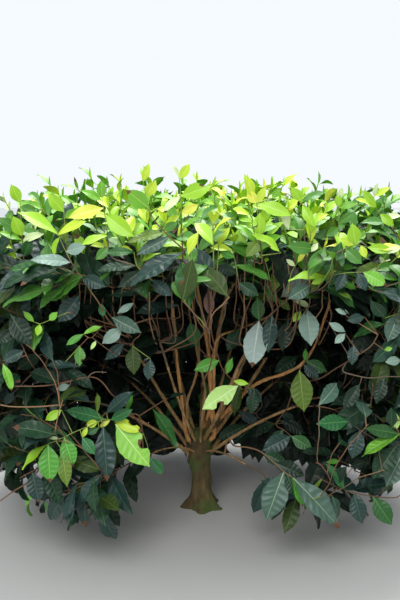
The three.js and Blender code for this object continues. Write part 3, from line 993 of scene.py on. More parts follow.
    def twig_to(
        self, number: int, joint: np.ndarray, heading: np.ndarray, radius: float, end: np.ndarray, first: bool
    ) -> Twig:
        """A twig from a joint to an end.

        Args:
            number: The number of its mass.
            joint: Where it springs.
            heading: How the limb runs there.
            radius: The limb's radius there.
            end: Where it ends.
            first: Whether it carries on from the bough.

        Returns:
            The twig, which rises to the table at its end if it reaches it.
        """
        length = float(np.linalg.norm(end - joint))
        high = bool(end[2] > self.high)
        bend = joint + heading * length * 0.45
        if not first:
            bend = joint + (end - joint) * 0.42 + heading * length * 0.2
            if high:
                bend = bend * 0.45 + (end - UP * length * 0.55) * 0.55
            else:
                bend = bend - UP * self.masses[number].sag * length / 2
        points = bezier(joint, bend, end, np.linspace(0, 1, self.steps + 1))
        crook = self.random.normal(size=points.shape) * length * self.crook
        crook[0] = crook[-1] = 0
        thin = self.tip_radius
        foot = radius if first else min(max(thin, radius * 0.75), thin + self.swell * length)
        return Twig(points + crook, foot, thin, length, number, high)


# Leaves.


@dataclass(frozen=True)
class LeafKind:
    """How one kind of leaf is formed and held. Lengths are in millimetres and angles in degrees."""

    length: float
    width: float
    rows: int
    widest: float
    droop: float
    fold: float
    quilt: float
    teeth: float
    lift: float
    outward: float
    facing: float
    spacing: float
    angles: tuple[float, float]
    sway: float = 0.3


BUD = LeafKind(28, 7, 5, 0.4, -6, 1.2, 0.0, 0.0, 1.2, 0.0, 0.4, 10, (4, 8))
YOUNG = LeafKind(68, 31, 8, 0.48, 40, 0.3, 0.004, 0.025, 0.22, 0.12, 0.5, 22, (30, 80))
SPREADING = LeafKind(88, 38, 10, 0.47, 34, 0.22, 0.009, 0.035, -0.02, 0.2, 0.5, 26, (50, 84))
HANGING = LeafKind(90, 39, 12, 0.48, 34, 0.18, 0.008, 0.035, -0.36, 0.16, 1.1, 25, (42, 88))
SHOWN_YOUNG = LeafKind(66, 31, 12, 0.48, 26, 0.22, 0.004, 0.02, 0.0, 0.0, 0.0, 0, (0, 0))
SHOWN = LeafKind(92, 40, 16, 0.48, 22, 0.16, 0.0075, 0.025, 0.0, 0.0, 0.0, 0, (0, 0))


@dataclass
class Leaf:
    """One leaf: where its root is, how it lies, and how it is drawn."""

    root: np.ndarray
    along: np.ndarray
    normal: np.ndarray
    kind: LeafKind
    size: float
    tint: str = ""
    broad: float = 1.0
    droop: float = 0.0
    twist: float = 0.0
    wave: float = 0.0
    curl: float = 0.0
    scorched: bool = False
    bitten: int = -1


class LeafBuilder:
    """Draws many leaves of one kind at a time as one mesh from arrays."""

    columns = np.array([-1.0, -0.55, -0.045, 0.045, 0.55, 1.0])
    bite_depth = 0.7
    bite_rows = 1.3
    slant = 0.09
    least_width = 0.03
    rib_height = 0.004
    wave_height = 0.022
    waves = 1.7
    scorched_rows = 3

    def half_widths(self, kind: LeafKind, shares: np.ndarray) -> np.ndarray:
        """The outline of a leaf.

        Args:
            kind: The kind of leaf.
            shares: How far along it, from 0 at its root to 1 at its tip.

        Returns:
            The half width there as a share of the most.
        """
        v = np.clip(shares, 0, 1)
        peak = kind.widest
        rise = np.sin(np.clip(v / peak, 0, 1) * math.pi / 2) ** 1.15
        fall = np.cos(np.clip((v - peak) / (1 - peak), 0, 1) * math.pi / 2) ** 0.85
        tip = 1 - 0.4 * np.clip((v - 0.8) / 0.2, 0, 1)
        return np.maximum(np.where(v < peak, rise, fall * tip), self.least_width)

    def mesh_rows(self, kind: LeafKind, leaves: list[Leaf]) -> np.ndarray:
        """The points of some leaves of one kind.

        Args:
            kind: Their kind.
            leaves: The leaves.

        Returns:
            An array of leaves by rows by columns by coordinates, in millimetres.
        """

        def each(name: str) -> np.ndarray:
            """One value of every leaf, as an array of leaves by one row by one column."""
            return np.array([getattr(leaf, name) for leaf in leaves])[:, None, None]

        rows = np.linspace(0, 1, kind.rows + 1)
        u, v = self.columns[None, :], rows[:, None]
        swing = np.where(np.arange(kind.rows + 1) % 2 == 0, 1.0, -1.0)[:, None]
        slant = self.slant * np.abs(u) * np.sin(math.pi * v)
        wide = self.half_widths(kind, v + slant)
        tooth = 1 + kind.teeth * swing * (np.abs(u) > 0.9)
        rib = (np.abs(u) < 0.1).astype(float)
        across = u * (wide * (1 - rib) + (0.35 + 0.65 * (1 - v)) * rib) * tooth
        ease = np.sin(math.pi * np.clip(v, 0.02, 0.98)) ** 0.5
        shape = np.interp(np.abs(u), [0, 0.1, 0.55, 1.0], [0, 0.1, 1.0, 0.45])
        quilt = -kind.quilt * swing * shape * ease
        size, bitten = each("size"), each("bitten")[..., 0]
        length = kind.length * size
        off = np.arange(kind.rows + 1)[None] - bitten - 0.5
        bite = np.where(bitten >= 0, self.bite_depth * np.exp(-((off / self.bite_rows) ** 2)), 0.0)
        shown = np.repeat(across[None], len(leaves), axis=0)
        shown[:, :, 0] *= 1 - bite
        shown[:, :, 1] = np.maximum(shown[:, :, 1], 0.8 * shown[:, :, 0])
        x = shown * (kind.width / 2 * size * each("broad"))
        z = (kind.fold + each("curl")) * np.abs(x) + (quilt - self.rib_height * rib)[None] * length
        ripple = np.sin(2 * math.pi * (self.waves * v[None] + each("wave")))
        z = z + self.wave_height * length * ripple * u[None] ** 2 * np.sign(u[None])
        bend = np.radians(kind.droop + each("droop"))[..., 0] * (rows[None] ** 1.25)
        middle, start = (bend[:, 1:] + bend[:, :-1]) / 2, np.zeros((len(leaves), 1))
        step = 1.0 / kind.rows
        ahead = np.concatenate([start, np.cumsum(np.cos(middle) * step, axis=1)], axis=1)
        down = np.concatenate([start, np.cumsum(np.sin(middle) * step, axis=1)], axis=1)
        along, normal, root = each("along"), each("normal"), each("root")
        side = np.cross(along, normal)
        cosine, sine = np.cos(bend)[:, :, None, None], np.sin(bend)[:, :, None, None]
        tangent = along * cosine - normal * sine
        upright = normal * cosine + along * sine
        turn = np.radians(each("twist"))[..., 0] * rows[None]
        cosine, sine = np.cos(turn)[:, :, None, None], np.sin(turn)[:, :, None, None]
        right = side * cosine + upright * sine
        over = upright * cosine - side * sine
        spine = root + along * (ahead[:, :, None] * length)[..., None]
        spine = spine - normal * (down[:, :, None] * length)[..., None]
        forward = (slant[None] * length)[..., None] * tangent
        return spine + right * x[..., None] + over * z[..., None] + forward

    def build(
        self,
        name: str,
        leaves: list[Leaf],
        tints: list[LeafTint],
        slot: Slot,
        replaced: list[str],
        ribbed: bool,
    ) -> Piece:
        """Leaves of any kinds as one piece.

        Args:
            name: The piece's name.
            leaves: The leaves.
            tints: Their tints, to which the scorched one is added.
            slot: The record's slot; not used.
            replaced: The part's solids that the piece stands for.
            ribbed: Whether the blades show their side veins as ridges with edges.

        Returns:
            The finished piece.
        """
        places, faces, paints = [], [], []
        names, start = tint_names(tints), 0
        for kind in dict.fromkeys(leaf.kind for leaf in leaves):
            own = [leaf for leaf in leaves if leaf.kind is kind]
            points = self.mesh_rows(kind, own)
            count, rows, columns, _ = points.shape
            grid = np.arange(rows * columns).reshape(rows, columns)
            quads = np.stack([grid[:-1, :-1], grid[:-1, 1:], grid[1:, 1:], grid[1:, :-1]], axis=-1)
            row = np.repeat(np.arange(rows - 1), columns - 1)
            column = np.tile(np.arange(columns - 1), rows - 1)
            numbers = np.array([names.index(leaf.tint) for leaf in own])
            paint = 2 * numbers[:, None] + (column == (columns - 1) // 2)[None]
            burnt = np.array([leaf.scorched for leaf in own])[:, None] & (row >= rows - self.scorched_rows)
            bitten = np.array([leaf.bitten for leaf in own])[:, None]
            rim = (np.abs(row[None] - bitten) <= 1) & (column[None] == 0) & (bitten >= 0)
            paint = np.where(burnt | rim, 2 * len(tints), paint)
            shifts = (np.arange(count) * rows * columns)[:, None, None] + start
            faces.append((quads.reshape(-1, 4)[None] + shifts).reshape(-1, 4))
            paints.append(paint.reshape(-1))
            places.append(points.reshape(-1, 3))
            start += count * rows * columns
        joints = np.vstack(places) * MILLIMETRE
        piece = mesh_from_arrays(name, joints, np.vstack(faces), np.concatenate(paints))
        materials = [material for tint in tints for material in tint.materials()]
        dress(piece, [*materials, SCORCHED.materials()[0]])
        if ribbed:
            piece.data.polygons.foreach_set("use_smooth", np.zeros(len(piece.data.polygons), bool))
        if replaced:
            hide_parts(*replaced)
        return piece


def mesh_from_arrays(name: str, places: np.ndarray, faces: np.ndarray, paints: np.ndarray) -> Piece:
    """A mesh of four-sided faces.

    Args:
        name: The object's name.
        places: Rows of points, in metres.
        faces: Rows of four point numbers.
        paints: The material number of each face.

    Returns:
        The object, with no point that no face uses.
    """
    used, numbers = np.unique(faces, return_inverse=True)
    places, faces = places[used], numbers.reshape(faces.shape)
    mesh = bpy.data.meshes.new(name)
    mesh.vertices.add(len(places))
    mesh.vertices.foreach_set("co", places.astype(np.float32).ravel())
    mesh.loops.add(faces.size)
    mesh.loops.foreach_set("vertex_index", faces.astype(np.int32).ravel())
    mesh.polygons.add(len(faces))
    mesh.polygons.foreach_set("loop_start", np.arange(0, faces.size, 4, dtype=np.int32))
    mesh.polygons.foreach_set("material_index", paints.astype(np.int32))
    mesh.update(calc_edges=True)
    mesh.validate()
    piece = bpy.data.objects.new(name, mesh)
    bpy.context.scene.collection.objects.link(piece)
    return piece


@dataclass(frozen=True)
class Blade:
    """A leaf that the photograph shows, by the pixels of its root and tip, and how many pixels it is across.

    A scorched one is brown at its tip, a bitten one lacks a piece of its edge at that row, and a curled one
    is folded up more.
    """

    root_across: float
    root_down: float
    tip_across: float
    tip_down: float
    across: float
    tint: str
    scorched: bool = False
    bitten: int = -1
    curl: float = 0.0

    @property
    def root(self) -> tuple[float, float]:
        """The pixel of its root."""
        return self.root_across, self.root_down

    @property
    def tip(self) -> tuple[float, float]:
        """The pixel of its tip."""
        return self.tip_across, self.tip_down


@dataclass(frozen=True)
class Spray:
    """A twig that the photograph shows, as stations of pixel, depth and diameter, and its leaves.

    So much of its length is green, or not even its tip where that is below nought. No other leaf stands
    before it within so many clear pixels.
    """

    name: str
    stations: tuple[Station, ...]
    blades: tuple[Blade, ...] = ()
    green: float = 0.0
    clear: float = 0.0


# Low in the front, on both sides of the trunk.
LOW_SPRAYS = [
    Spray("low_left", ((139, 416, -250, 3.4), (115, 420, -305, 3), (104.6, 419.3, -325, 2.8),
           (92, 425, -345, 2.6), (79, 430, -365, 2.4), (61, 438.5, -385, 2.2), (48, 444, -395, 1.8)),
          (Blade(115.5, 424, 150, 467, 28, "fresh_bright", bitten=8),
           Blade(115, 421, 143.5, 431.5, 12, "flush_yellow", True, bitten=6, curl=0.35),
           Blade(103, 418.5, 64.5, 410, 14, "fresh_deep"), Blade(111, 420, 133, 409, 11, "fresh_deep"),
           Blade(124, 414, 134, 394, 5, "fresh_green"), Blade(106.5, 413, 134, 391, 13, "slate_green"),
           Blade(97, 412, 96.5, 392, 6, "olive_light"), Blade(61.5, 410, 45, 420.5, 9, "flush_lime"),
           Blade(101, 424, 85, 425, 8, "flush_yellow", True, curl=0.4),
           Blade(111, 421, 99, 428, 5, "sunlit_yellow", True), Blade(86, 424, 82, 438, 5, "flush_yellow"),
           Blade(99, 428, 86, 434, 8, "middle_green"), Blade(103, 426, 107.5, 482, 21, "slate_green", True),
           Blade(82, 437, 95, 454.5, 12, "fresh_deep"), Blade(49, 444, 50, 483, 21, "fresh_green", True),
           Blade(66, 440, 73, 467, 19, "fresh_green", True), Blade(46, 443, 22, 470, 8, "flush_lime"),
           Blade(61, 440, 48.5, 439, 3, "flush_pale"),
           Blade(62, 450, 67, 487, 14, "olive_light")), green=170.0),
    Spray("low_left_inner", ((139, 416, -250, 3), (153, 407, -235, 2.4), (168, 398, -220, 1.6)),
          (Blade(168, 398, 186, 394, 4, "deep_green"), Blade(152, 409, 177, 449, 12, "middle_green"))),
    Spray("low_left_under", ((142, 430, -235, 2.6), (147, 444, -242, 2.2), (150, 458, -248, 1.6)),
          (Blade(150, 459, 164, 475, 11, "fresh_deep", True), Blade(147, 452, 129, 481, 11, "deep_green"))),
    Spray("far_left", ((60, 470, -330, 3), (45, 467, -335, 2.8), (33, 471, -340, 2.4), (20, 478, -340, 2.2)),
          (Blade(33, 473, 39, 503, 17, "slate_green", True), Blade(46, 468, 60, 505, 17, "bottle_green"))),
    Spray("low_right", ((228, 440.4, -110, 4.4), (235, 446, -150, 4.2), (247.7, 447.4, -200, 4),
           (260.4, 451.6, -250, 3.6), (274.4, 462.8, -300, 3.2), (284.2, 472, -335, 2.8),
           (292, 477, -350, 2.2)),
          (Blade(281.4, 472.6, 266, 521, 25, "grey_green"),
           Blade(291.5, 477, 340, 529, 22, "grey_green", True),
           Blade(275, 463, 304.6, 476, 16, "deep_green"), Blade(262, 452, 287, 464, 13, "bottle_green"),
           Blade(285, 473, 297, 497, 13, "bottle_green"),
           Blade(290, 478, 303, 508, 9, "fresh_green", True)), green=-1.0),
    Spray("low_right_inner", ((276, 424, -180, 3), (284, 430, -205, 2.6), (291, 436, -225, 2)),
          (Blade(291, 435.4, 261.8, 451, 17, "slate_green"),
           Blade(291, 436, 312.3, 448.8, 16, "middle_green"),
           Blade(283, 430, 270, 447, 12, "bottle_green"))),
    Spray("low_right_behind", ((262, 404, 20, 3.4), (256, 413, 30, 3), (262, 420, 36, 2.6),
           (275, 424, 40, 2)),
          (Blade(247, 425, 216.6, 439, 14, "bottle_green"), Blade(238, 411, 260, 425, 10, "slate_green"),
           Blade(276, 425, 251, 433, 9, "bottle_green"), Blade(294.4, 421, 281, 413, 11, "slate_green"),
           Blade(268, 426, 244, 437, 12, "deep_green"), Blade(262, 424, 232, 446, 12, "deep_green"),
           Blade(280, 420, 306, 434, 12, "deep_green"))),
    Spray("low_right_thin", ((365.8, 476.5, -230, 2.6), (356.9, 471.4, -240, 2.2), (346.7, 463.8, -250, 1.8),
           (340, 461, -255, 1.4)),
          (Blade(338, 463.5, 325.6, 462.5, 5, "fresh_green"),
           Blade(346.7, 475.3, 322.4, 472.7, 8, "slate_green"),
           Blade(337.8, 454.8, 300.8, 452.3, 8, "deep_green"), Blade(350, 466, 366, 462, 9, "deep_green"))),
    Spray("low_right_upper", ((376, 442, -290, 3), (364.5, 433, -305, 2.4), (348.5, 421.5, -320, 1.8)),
          (Blade(348.5, 421.5, 316, 424, 16, "fresh_deep"), Blade(360, 430, 352, 459, 20, "slate_green"))),
    Spray("low_right_twig", ((400, 495.7, -270, 2.8), (369.4, 495.7, -290, 2.6), (341.6, 489, -305, 2.4),
           (317, 476.6, -300, 2)),
          (Blade(345, 489, 326, 464, 9, "fresh_deep"), Blade(331, 484, 347, 466, 12, "deep_green"),
           Blade(372, 495, 392, 525, 20, "middle_green"), Blade(320, 478, 303, 515, 8, "olive_light", True),
           Blade(352, 492, 362, 524, 18, "slate_green"))),
    Spray("right_edge", ((406, 456, -250, 3.4), (402, 444, -280, 3), (399, 433, -300, 2.4),
           (396, 428, -310, 1.8)),
          (Blade(394.5, 430, 395, 412, 8, "fresh_pale"), Blade(400, 433, 361.5, 457, 12, "fresh_light"),
           Blade(398, 434, 364, 428, 13, "middle_green"), Blade(396, 446, 373, 479, 24, "bottle_green"),
           Blade(403, 450, 386, 487, 22, "grey_green"), Blade(392, 427, 391, 407, 11, "bottle_green"))),
]


# Hanging among the stems in the open front.
# The palest grey-green tints among these leaves are painted sky reflection.
WINDOW_SPRAYS = [
    Spray("hanging", ((206, 256, -110, 4), (208, 270, -160, 3.6), (208, 292, -195, 3.4),
           (210.5, 316, -215, 3.2), (212, 335, -225, 3), (217.5, 354.7, -235, 2.8),
           (222.5, 368.8, -240, 2.6), (232.3, 380, -245, 2.2), (242.8, 389.8, -250, 1.6)),
          (Blade(207.5, 291, 209.6, 316, 11, "withered", curl=0.5),
           Blade(237.5, 386, 202, 409.5, 20, "fresh_pale", bitten=8),
           Blade(233, 380, 249, 384, 6, "flush_lime"), Blade(218, 361, 194, 370.5, 13, "fresh_green"),
           Blade(227, 373.5, 232.5, 357.5, 7, "fresh_green"))),
    Spray("window_left", ((208, 357, -60, 2.8), (202, 351, -90, 2.4), (196.7, 346, -110, 1.8)),
          (Blade(196.7, 346, 190, 322, 19, "middle_green"), Blade(196, 346, 158, 342, 13, "bottle_green"))),
    Spray("window_cross", ((236, 330, -95, 3.4), (247, 325, -160, 3), (258, 321, -215, 2.6),
           (272, 314, -225, 2)),
          (Blade(240, 329, 227, 351, 16, "bottle_green"),
           Blade(258.6, 322, 251.8, 368, 24, "glazed_green", True),
           Blade(272, 316, 268, 353, 15, "slate_green"), Blade(258, 321, 257, 297, 14, "middle_green"))),
    Spray("window_right", ((272, 318, -130, 3), (288.6, 319, -190, 2.6), (303, 310, -230, 2.2),
           (317, 304, -236, 1.4)),
          (Blade(306, 309, 311, 346, 20, "mist_green"), Blade(301, 309, 293, 322, 9, "flush_lime"),
           Blade(309, 307, 294, 301, 6, "flush_pale"), Blade(288, 319, 282, 352, 15, "deep_green"))),
    Spray("window_top", ((270, 316, -130, 2.8), (274, 306, -142, 2.4), (281, 297, -152, 1.8)),
          (Blade(276, 302, 266, 284, 10, "fresh_green"), Blade(280, 300, 290, 310, 8, "olive_light"),
           Blade(283, 297, 310, 276, 17, "mist_green"))),
    Spray("arc_leaves", ((306, 360, -112, 2.6), (303, 364, -122, 2.2), (299.5, 370, -132, 1.6)),
          (Blade(299.5, 370, 304, 412, 22, "olive_light"), Blade(303, 364, 319, 380, 10, "slate_green"),
           Blade(305, 361, 306, 348, 5, "fresh_green"), Blade(306, 361, 327, 372, 13, "middle_green"))),
    Spray("arc_behind", ((306, 357, -70, 2.6), (302, 356, -66, 2.2), (298, 356, -62, 1.6)),
          (Blade(298, 356, 274, 373, 14, "bottle_green"),)),
    Spray("window_low", ((240, 384, -110, 2.6), (247, 387, -125, 2.2), (254.5, 390, -135, 1.6)),
          (Blade(254.5, 390, 251, 414, 15, "bottle_green"), Blade(241, 385, 234, 416, 10, "olive_green"),
           Blade(247, 387, 262, 402, 13, "slate_green"))),
]


# Young shoots at the front edge of the table, and the leaves right under them.
# The palest grey-green tints among these leaves are painted sky reflection.
TABLE_SPRAYS = [
    Spray("edge_far_left", ((24, 262, -300, 2.8), (22, 235, -305, 2.2), (20, 203, -308, 1.4)),
          (Blade(20, 202, 11, 184, 11, "flush_lime"), Blade(23, 236, 13, 216, 16, "flush_lime"),
           Blade(20, 240, -2, 232, 7, "flush_green"), Blade(24, 240, 44, 234, 8, "flush_pale"),
           Blade(21, 206, 37, 212, 9, "flush_deep"), Blade(22, 232, -3, 217, 11, "flush_deep"),
           Blade(23, 258, 31, 238, 18, "middle_green"))),
    Spray("edge_left", ((116, 326, -250, 4.2), (97, 300, -380, 3.8), (82, 278, -400, 3.2),
           (71, 262, -405, 2.8), (60, 239, -410, 2.2), (57, 230, -412, 1.4)),
          (Blade(58, 234, 17, 212, 11, "flush_lime"), Blade(60.6, 236, 88, 221, 9, "flush_yellow"),
           Blade(66, 252, 86, 246, 12, "mist_green"), Blade(70, 260, 30, 260, 12, "mist_green"),
           Blade(80, 274, 106, 287, 14, "slate_green"))),
    Spray("edge_left_upright", ((67, 252, -380, 2.6), (65, 230, -384, 2.2), (64, 212, -386, 1.4)),
          (Blade(64, 212, 48, 193, 13, "flush_lime"), Blade(65, 220, 78, 208, 8, "flush_green"))),
    Spray("edge_middle_left", ((111, 256, -396, 3), (107, 230, -402, 2.4), (104, 210, -404, 1.8),
           (102, 198, -405, 1.2)),
          (Blade(104, 207, 68, 218, 13, "sunlit_yellow"), Blade(106, 213, 134, 237, 17, "flush_lime"),
           Blade(102, 198, 101, 180, 10, "flush_green"), Blade(102, 200, 80, 190, 8, "flush_green"),
           Blade(107, 234, 80, 246, 7, "flush_lime"), Blade(110, 248, 96, 260, 12, "grass_green"))),
    Spray("edge_long", ((193, 256, -396, 3.6), (182, 248, -400, 3), (166, 233, -402, 2.6),
           (153, 218, -404, 2.2), (147, 200, -400, 1.8), (143, 182, -395, 1.2)),
          (Blade(148, 208, 126, 190, 17, "flush_green", True), Blade(150, 205, 131, 196, 11, "flush_lime"),
           Blade(143, 181, 149, 163, 8, "flush_yellow"), Blade(147, 196, 156, 180, 12, "flush_yellow"),
           Blade(165, 232, 127, 243, 10, "olive_light"), Blade(170, 238, 136.5, 255, 13, "grey_green"),
           Blade(186, 251, 130, 287, 15, "slate_green"), Blade(162, 230, 178, 222, 9, "flush_deep"))),
    Spray("under_edge", ((160, 290, -380, 3.4), (148, 276, -390, 2.8), (137, 266, -396, 2.4),
           (134, 252, -398, 1.8)),
          (Blade(137, 267, 97, 271, 10, "bottle_green"), Blade(135, 251, 105, 253, 9, "middle_green"),
           Blade(150, 279, 172, 296, 13, "slate_green"), Blade(141, 270, 118, 288, 12, "deep_green"))),
    Spray("edge_tall", ((184, 264, -386, 3.2), (182, 235, -392, 2.6), (181, 205, -394, 2),
           (179.5, 179, -392, 1.2)),
          (Blade(180, 178, 190, 163.5, 9, "flush_yellow"), Blade(179, 177, 171, 164, 4, "flush_pale"),
           Blade(181, 196, 213, 185, 16, "flush_lime", bitten=8), Blade(182, 198, 163, 212, 8, "flush_pale"),
           Blade(181.5, 212, 199, 204, 10, "sunlit_yellow"))),
    Spray("edge_middle", ((240, 290, -350, 3.4), (237, 272, -360, 2.8), (235, 260, -364, 2.2),
           (232, 250, -366, 1.4)),
          (Blade(232, 250, 210, 248, 7, "flush_yellow", curl=0.3),
           Blade(236, 266, 271, 281, 8, "grass_green"), Blade(234, 258, 219, 250, 9, "fresh_green"),
           Blade(237, 272, 215, 266, 11, "deep_green"), Blade(239, 282, 259, 296, 13, "bottle_green"))),
    Spray("edge_right_of_middle", ((262, 262, -386, 3.2), (259, 232, -392, 2.4), (257, 206, -394, 1.8),
           (254, 198, -395, 1.2)),
          (Blade(257, 205, 247, 190, 14, "sunlit_yellow"), Blade(253, 198, 244, 174, 9, "flush_yellow"),
           Blade(259, 205, 292, 216, 13, "flush_lime"), Blade(257, 202, 266, 186, 8, "flush_yellow"),
           Blade(261, 236, 260, 212, 12, "flush_lime", bitten=5),
           Blade(262, 240, 246, 257, 15, "olive_light"),
           Blade(281, 253, 252, 234, 8, "flush_lime", bitten=5),
           Blade(272, 198, 280, 189, 9, "flush_green"))),
    Spray("edge_right", ((307, 262, -380, 3), (304, 232, -384, 2.4), (302, 201, -386, 1.4)),
          (Blade(302, 199, 291, 187, 10, "flush_lime"), Blade(303, 207, 314, 227, 10, "flush_lime"),
           Blade(288.5, 229.5, 282, 209, 8, "flush_pale"), Blade(315, 249, 287, 246, 13, "flush_deep"),
           Blade(318, 243, 311, 252, 6, "flush_pale"), Blade(303, 203, 325, 192, 7, "flush_deep"))),
    Spray("edge_right_sprig", ((310, 270, -366, 3.4), (328, 258, -372, 2.8), (341, 251, -374, 2.4),
           (354, 245, -376, 2), (366, 247, -376, 1.6), (373, 250, -376, 1.2)),
          (Blade(355, 245, 352, 223, 17, "flush_lime"), Blade(353, 244, 340, 238, 8, "flush_yellow"),
           Blade(368, 247, 393, 250, 10, "flush_lime"), Blade(373, 251, 402, 248, 6, "sunlit_yellow"),
           Blade(360, 246, 366, 258, 10, "flush_yellow"), Blade(345, 250, 362, 264, 13, "flush_deep"))),
    Spray("edge_right_under", ((305, 288, -362, 3), (327, 277, -370, 2.4), (345, 273, -373, 2),
           (363, 272, -374, 1.4)),
          (Blade(363, 272, 387, 285, 14, "fresh_light", True), Blade(328, 277, 288, 281, 8, "flush_lime"),
           Blade(325, 278, 311, 284, 7, "flush_lime"), Blade(311, 285, 288, 299, 18, "grey_green"),
           Blade(345, 273, 336, 291, 15, "slate_green"), Blade(356, 272, 366, 291, 14, "slate_green"))),
    Spray("edge_small_sprig", ((288, 292, -350, 2.6), (291, 274, -354, 2), (297, 263, -356, 1.2)),
          (Blade(295, 266, 286, 259, 5, "flush_pale"), Blade(297, 263, 308, 251, 5, "sunlit_yellow"))),
    Spray("edge_far_right", ((404, 246, -250, 2.8), (391, 227, -256, 2.2), (376, 208, -260, 1.8),
           (374, 197, -261, 1.2)),
          (Blade(376, 207, 361, 190, 8, "flush_lime"), Blade(375, 198, 391, 187, 6, "flush_yellow"),
           Blade(382, 214, 394, 226, 9, "flush_lime"), Blade(374, 198, 378, 183, 5, "flush_pale"),
           Blade(377, 208, 355, 199, 5, "flush_yellow"), Blade(386, 217, 402, 216, 5, "flush_pale"),
           Blade(388, 224, 360, 223, 8, "flush_deep"))),
    Spray("edge_right_inner", ((340, 262, -340, 2.8), (339, 232, -346, 2.2), (338.5, 208, -348, 1.4)),
          (Blade(338.5, 207, 338, 193, 7, "flush_lime"), Blade(339.5, 200, 342, 187, 6, "flush_pale"),
           Blade(339, 207, 358, 203, 7, "flush_green"), Blade(339, 226, 326, 236, 11, "flush_deep"),
           Blade(339, 222, 355, 212, 9, "grass_green"))),
]


# Mature leaves at both sides of the open front, and the bare twigs among them.
# The palest grey-green tints among these leaves are painted sky reflection.
SIDE_SPRAYS = [
    Spray("left_lime", ((84, 316, -250, 3.2), (72, 312, -385, 2.8), (61, 315, -392, 2.4), (50, 320, -396, 2),
           (40, 324, -398, 1.6)),
          (Blade(34, 322, 23, 311, 6, "flush_green"), Blade(41, 324, 37, 336, 11, "flush_lime"),
           Blade(48, 320.6, 57.5, 312, 8, "fresh_light"),
           Blade(80, 295, 58, 322.5, 19, "slate_green")), green=60.0),
    Spray("left_dark", ((40, 372, -260, 3.4), (30, 362, -392, 3), (22, 345, -398, 2.6), (14, 328, -400, 2.2),
           (10, 314, -402, 1.6)),
          (Blade(10, 314, 31, 346, 20, "deep_green"), Blade(24, 350, 2, 361, 12, "slate_green"),
           Blade(42, 354, 16.6, 369.7, 13, "bottle_green", True),
           Blade(3, 364, 12, 392, 9, "fresh_light", True), Blade(14, 392, 4, 405, 11, "slate_green"),
           Blade(12, 330, -4, 344, 14, "deep_green"))),
    Spray("left_middle", ((124, 356, -190, 3.6), (112, 352, -320, 3), (99, 343, -346, 2.6),
           (90, 337, -356, 2.2), (80, 346, -364, 1.6)),
          (Blade(83.5, 334, 65.7, 345.5, 7, "fresh_green"),
           Blade(79, 346.8, 79.7, 366.5, 19, "grass_green", bitten=10),
           Blade(95, 342.3, 90.6, 349.7, 4, "fresh_pale"), Blade(102, 326.4, 83.5, 334, 5, "fresh_light"),
           Blade(61.2, 366.5, 95, 390.8, 13, "deep_green"), Blade(79, 366.5, 44, 366, 8, "slate_green"),
           Blade(70, 385, 56, 389.5, 7, "mist_green"))),
    Spray("left_grey", ((136, 342, -170, 3.6), (128, 334, -300, 3.2), (121, 327, -312, 2.8),
           (112, 318, -322, 2.4), (101, 303.5, -330, 1.8)),
          (Blade(112, 318, 141.6, 332.7, 15, "grey_green"), Blade(121, 327, 102, 343.6, 13, "mist_green"),
           Blade(101, 303.5, 103, 317, 13, "fresh_deep"), Blade(134, 302.8, 117, 313.6, 7, "mist_green"))),
    Spray("left_inner", ((178, 318, -250, 3), (179, 311, -258, 2.4), (178, 305.3, -264, 1.8)),
          (Blade(178, 305.3, 134, 314, 12, "slate_green"),)),
    Spray("left_hanging", ((140, 334, -250, 3), (134, 340, -268, 2.6), (132.6, 346, -280, 1.8)),
          (Blade(132.6, 346, 134, 375, 20, "olive_green"), Blade(124.4, 343, 105, 360, 11, "slate_green"),
           Blade(150.5, 358.9, 148, 380.6, 12, "slate_green"))),
    Spray("left_bare", ((122, 402, -200, 3.6), (112, 394.6, -330, 3.2), (103, 383, -352, 3.2),
           (94.4, 377.4, -366, 3.2), (81.6, 378, -380, 3.2), (72.7, 380.6, -388, 3),
           (44.6, 385.7, -400, 2.8), (13.4, 386.3, -408, 2.4)), green=-1.0, clear=9.0),
    Spray("left_bare_low", ((62.5, 404.8, -392, 3.2), (38, 406.7, -402, 3.2), (12.8, 406.7, -408, 3),
           (0, 404.8, -410, 2.6)), green=-1.0, clear=9.0),
    Spray("left_bare_foot", ((40, 467, -310, 3.4), (28, 482, -330, 3.4), (14, 491, -338, 3.2),
           (0, 501, -342, 3)), green=-1.0, clear=8.0),
    Spray("left_bare_high", ((88, 377, -376, 2.4), (94.4, 372.3, -372, 2.2),
           (106.5, 372.3, -366, 1.6)), green=-1.0, clear=6.0),
    Spray("right_long", ((296, 386, -50, 4), (309.7, 381.2, -110, 4), (321, 378, -190, 4),
           (335, 369, -260, 3.8), (348, 361.4, -310, 3.6), (356.9, 355.7, -334, 3.6), (371, 346, -350, 3.2),
           (378, 334.6, -358, 2.6)),
          (Blade(353.7, 344.8, 351.8, 365.3, 16, "slate_green"),
           Blade(345, 333.4, 334.6, 343.6, 11, "mist_green"),
           Blade(328.8, 322.5, 345.4, 332, 8, "mist_green"),
           Blade(364.5, 316.8, 346.7, 320.6, 10, "slate_green"),
           Blade(335, 309, 349, 313.6, 6, "mist_green"),
           Blade(384.3, 350, 392.6, 348, 5, "flush_green")), green=-1.0, clear=7.0),
    Spray("right_thin", ((342.9, 371, -330, 3), (353, 374.8, -338, 3), (369.6, 378, -346, 2.8),
           (385, 376.7, -350, 2.6), (400, 376.7, -352, 2.2)),
          (Blade(360, 383.8, 342.9, 410, 13, "deep_green"),
           Blade(386, 380, 376, 404, 13, "deep_green")), green=-1.0, clear=7.0),
    Spray("right_high", ((404, 330, -330, 3), (402, 321, -336, 2.4), (399, 313, -340, 1.8)),
          (Blade(399, 313, 387.5, 342.3, 17, "grey_green"), Blade(401, 360, 385, 362, 9, "mist_green"),
           Blade(385, 318, 370, 300, 12, "bottle_green"))),
]


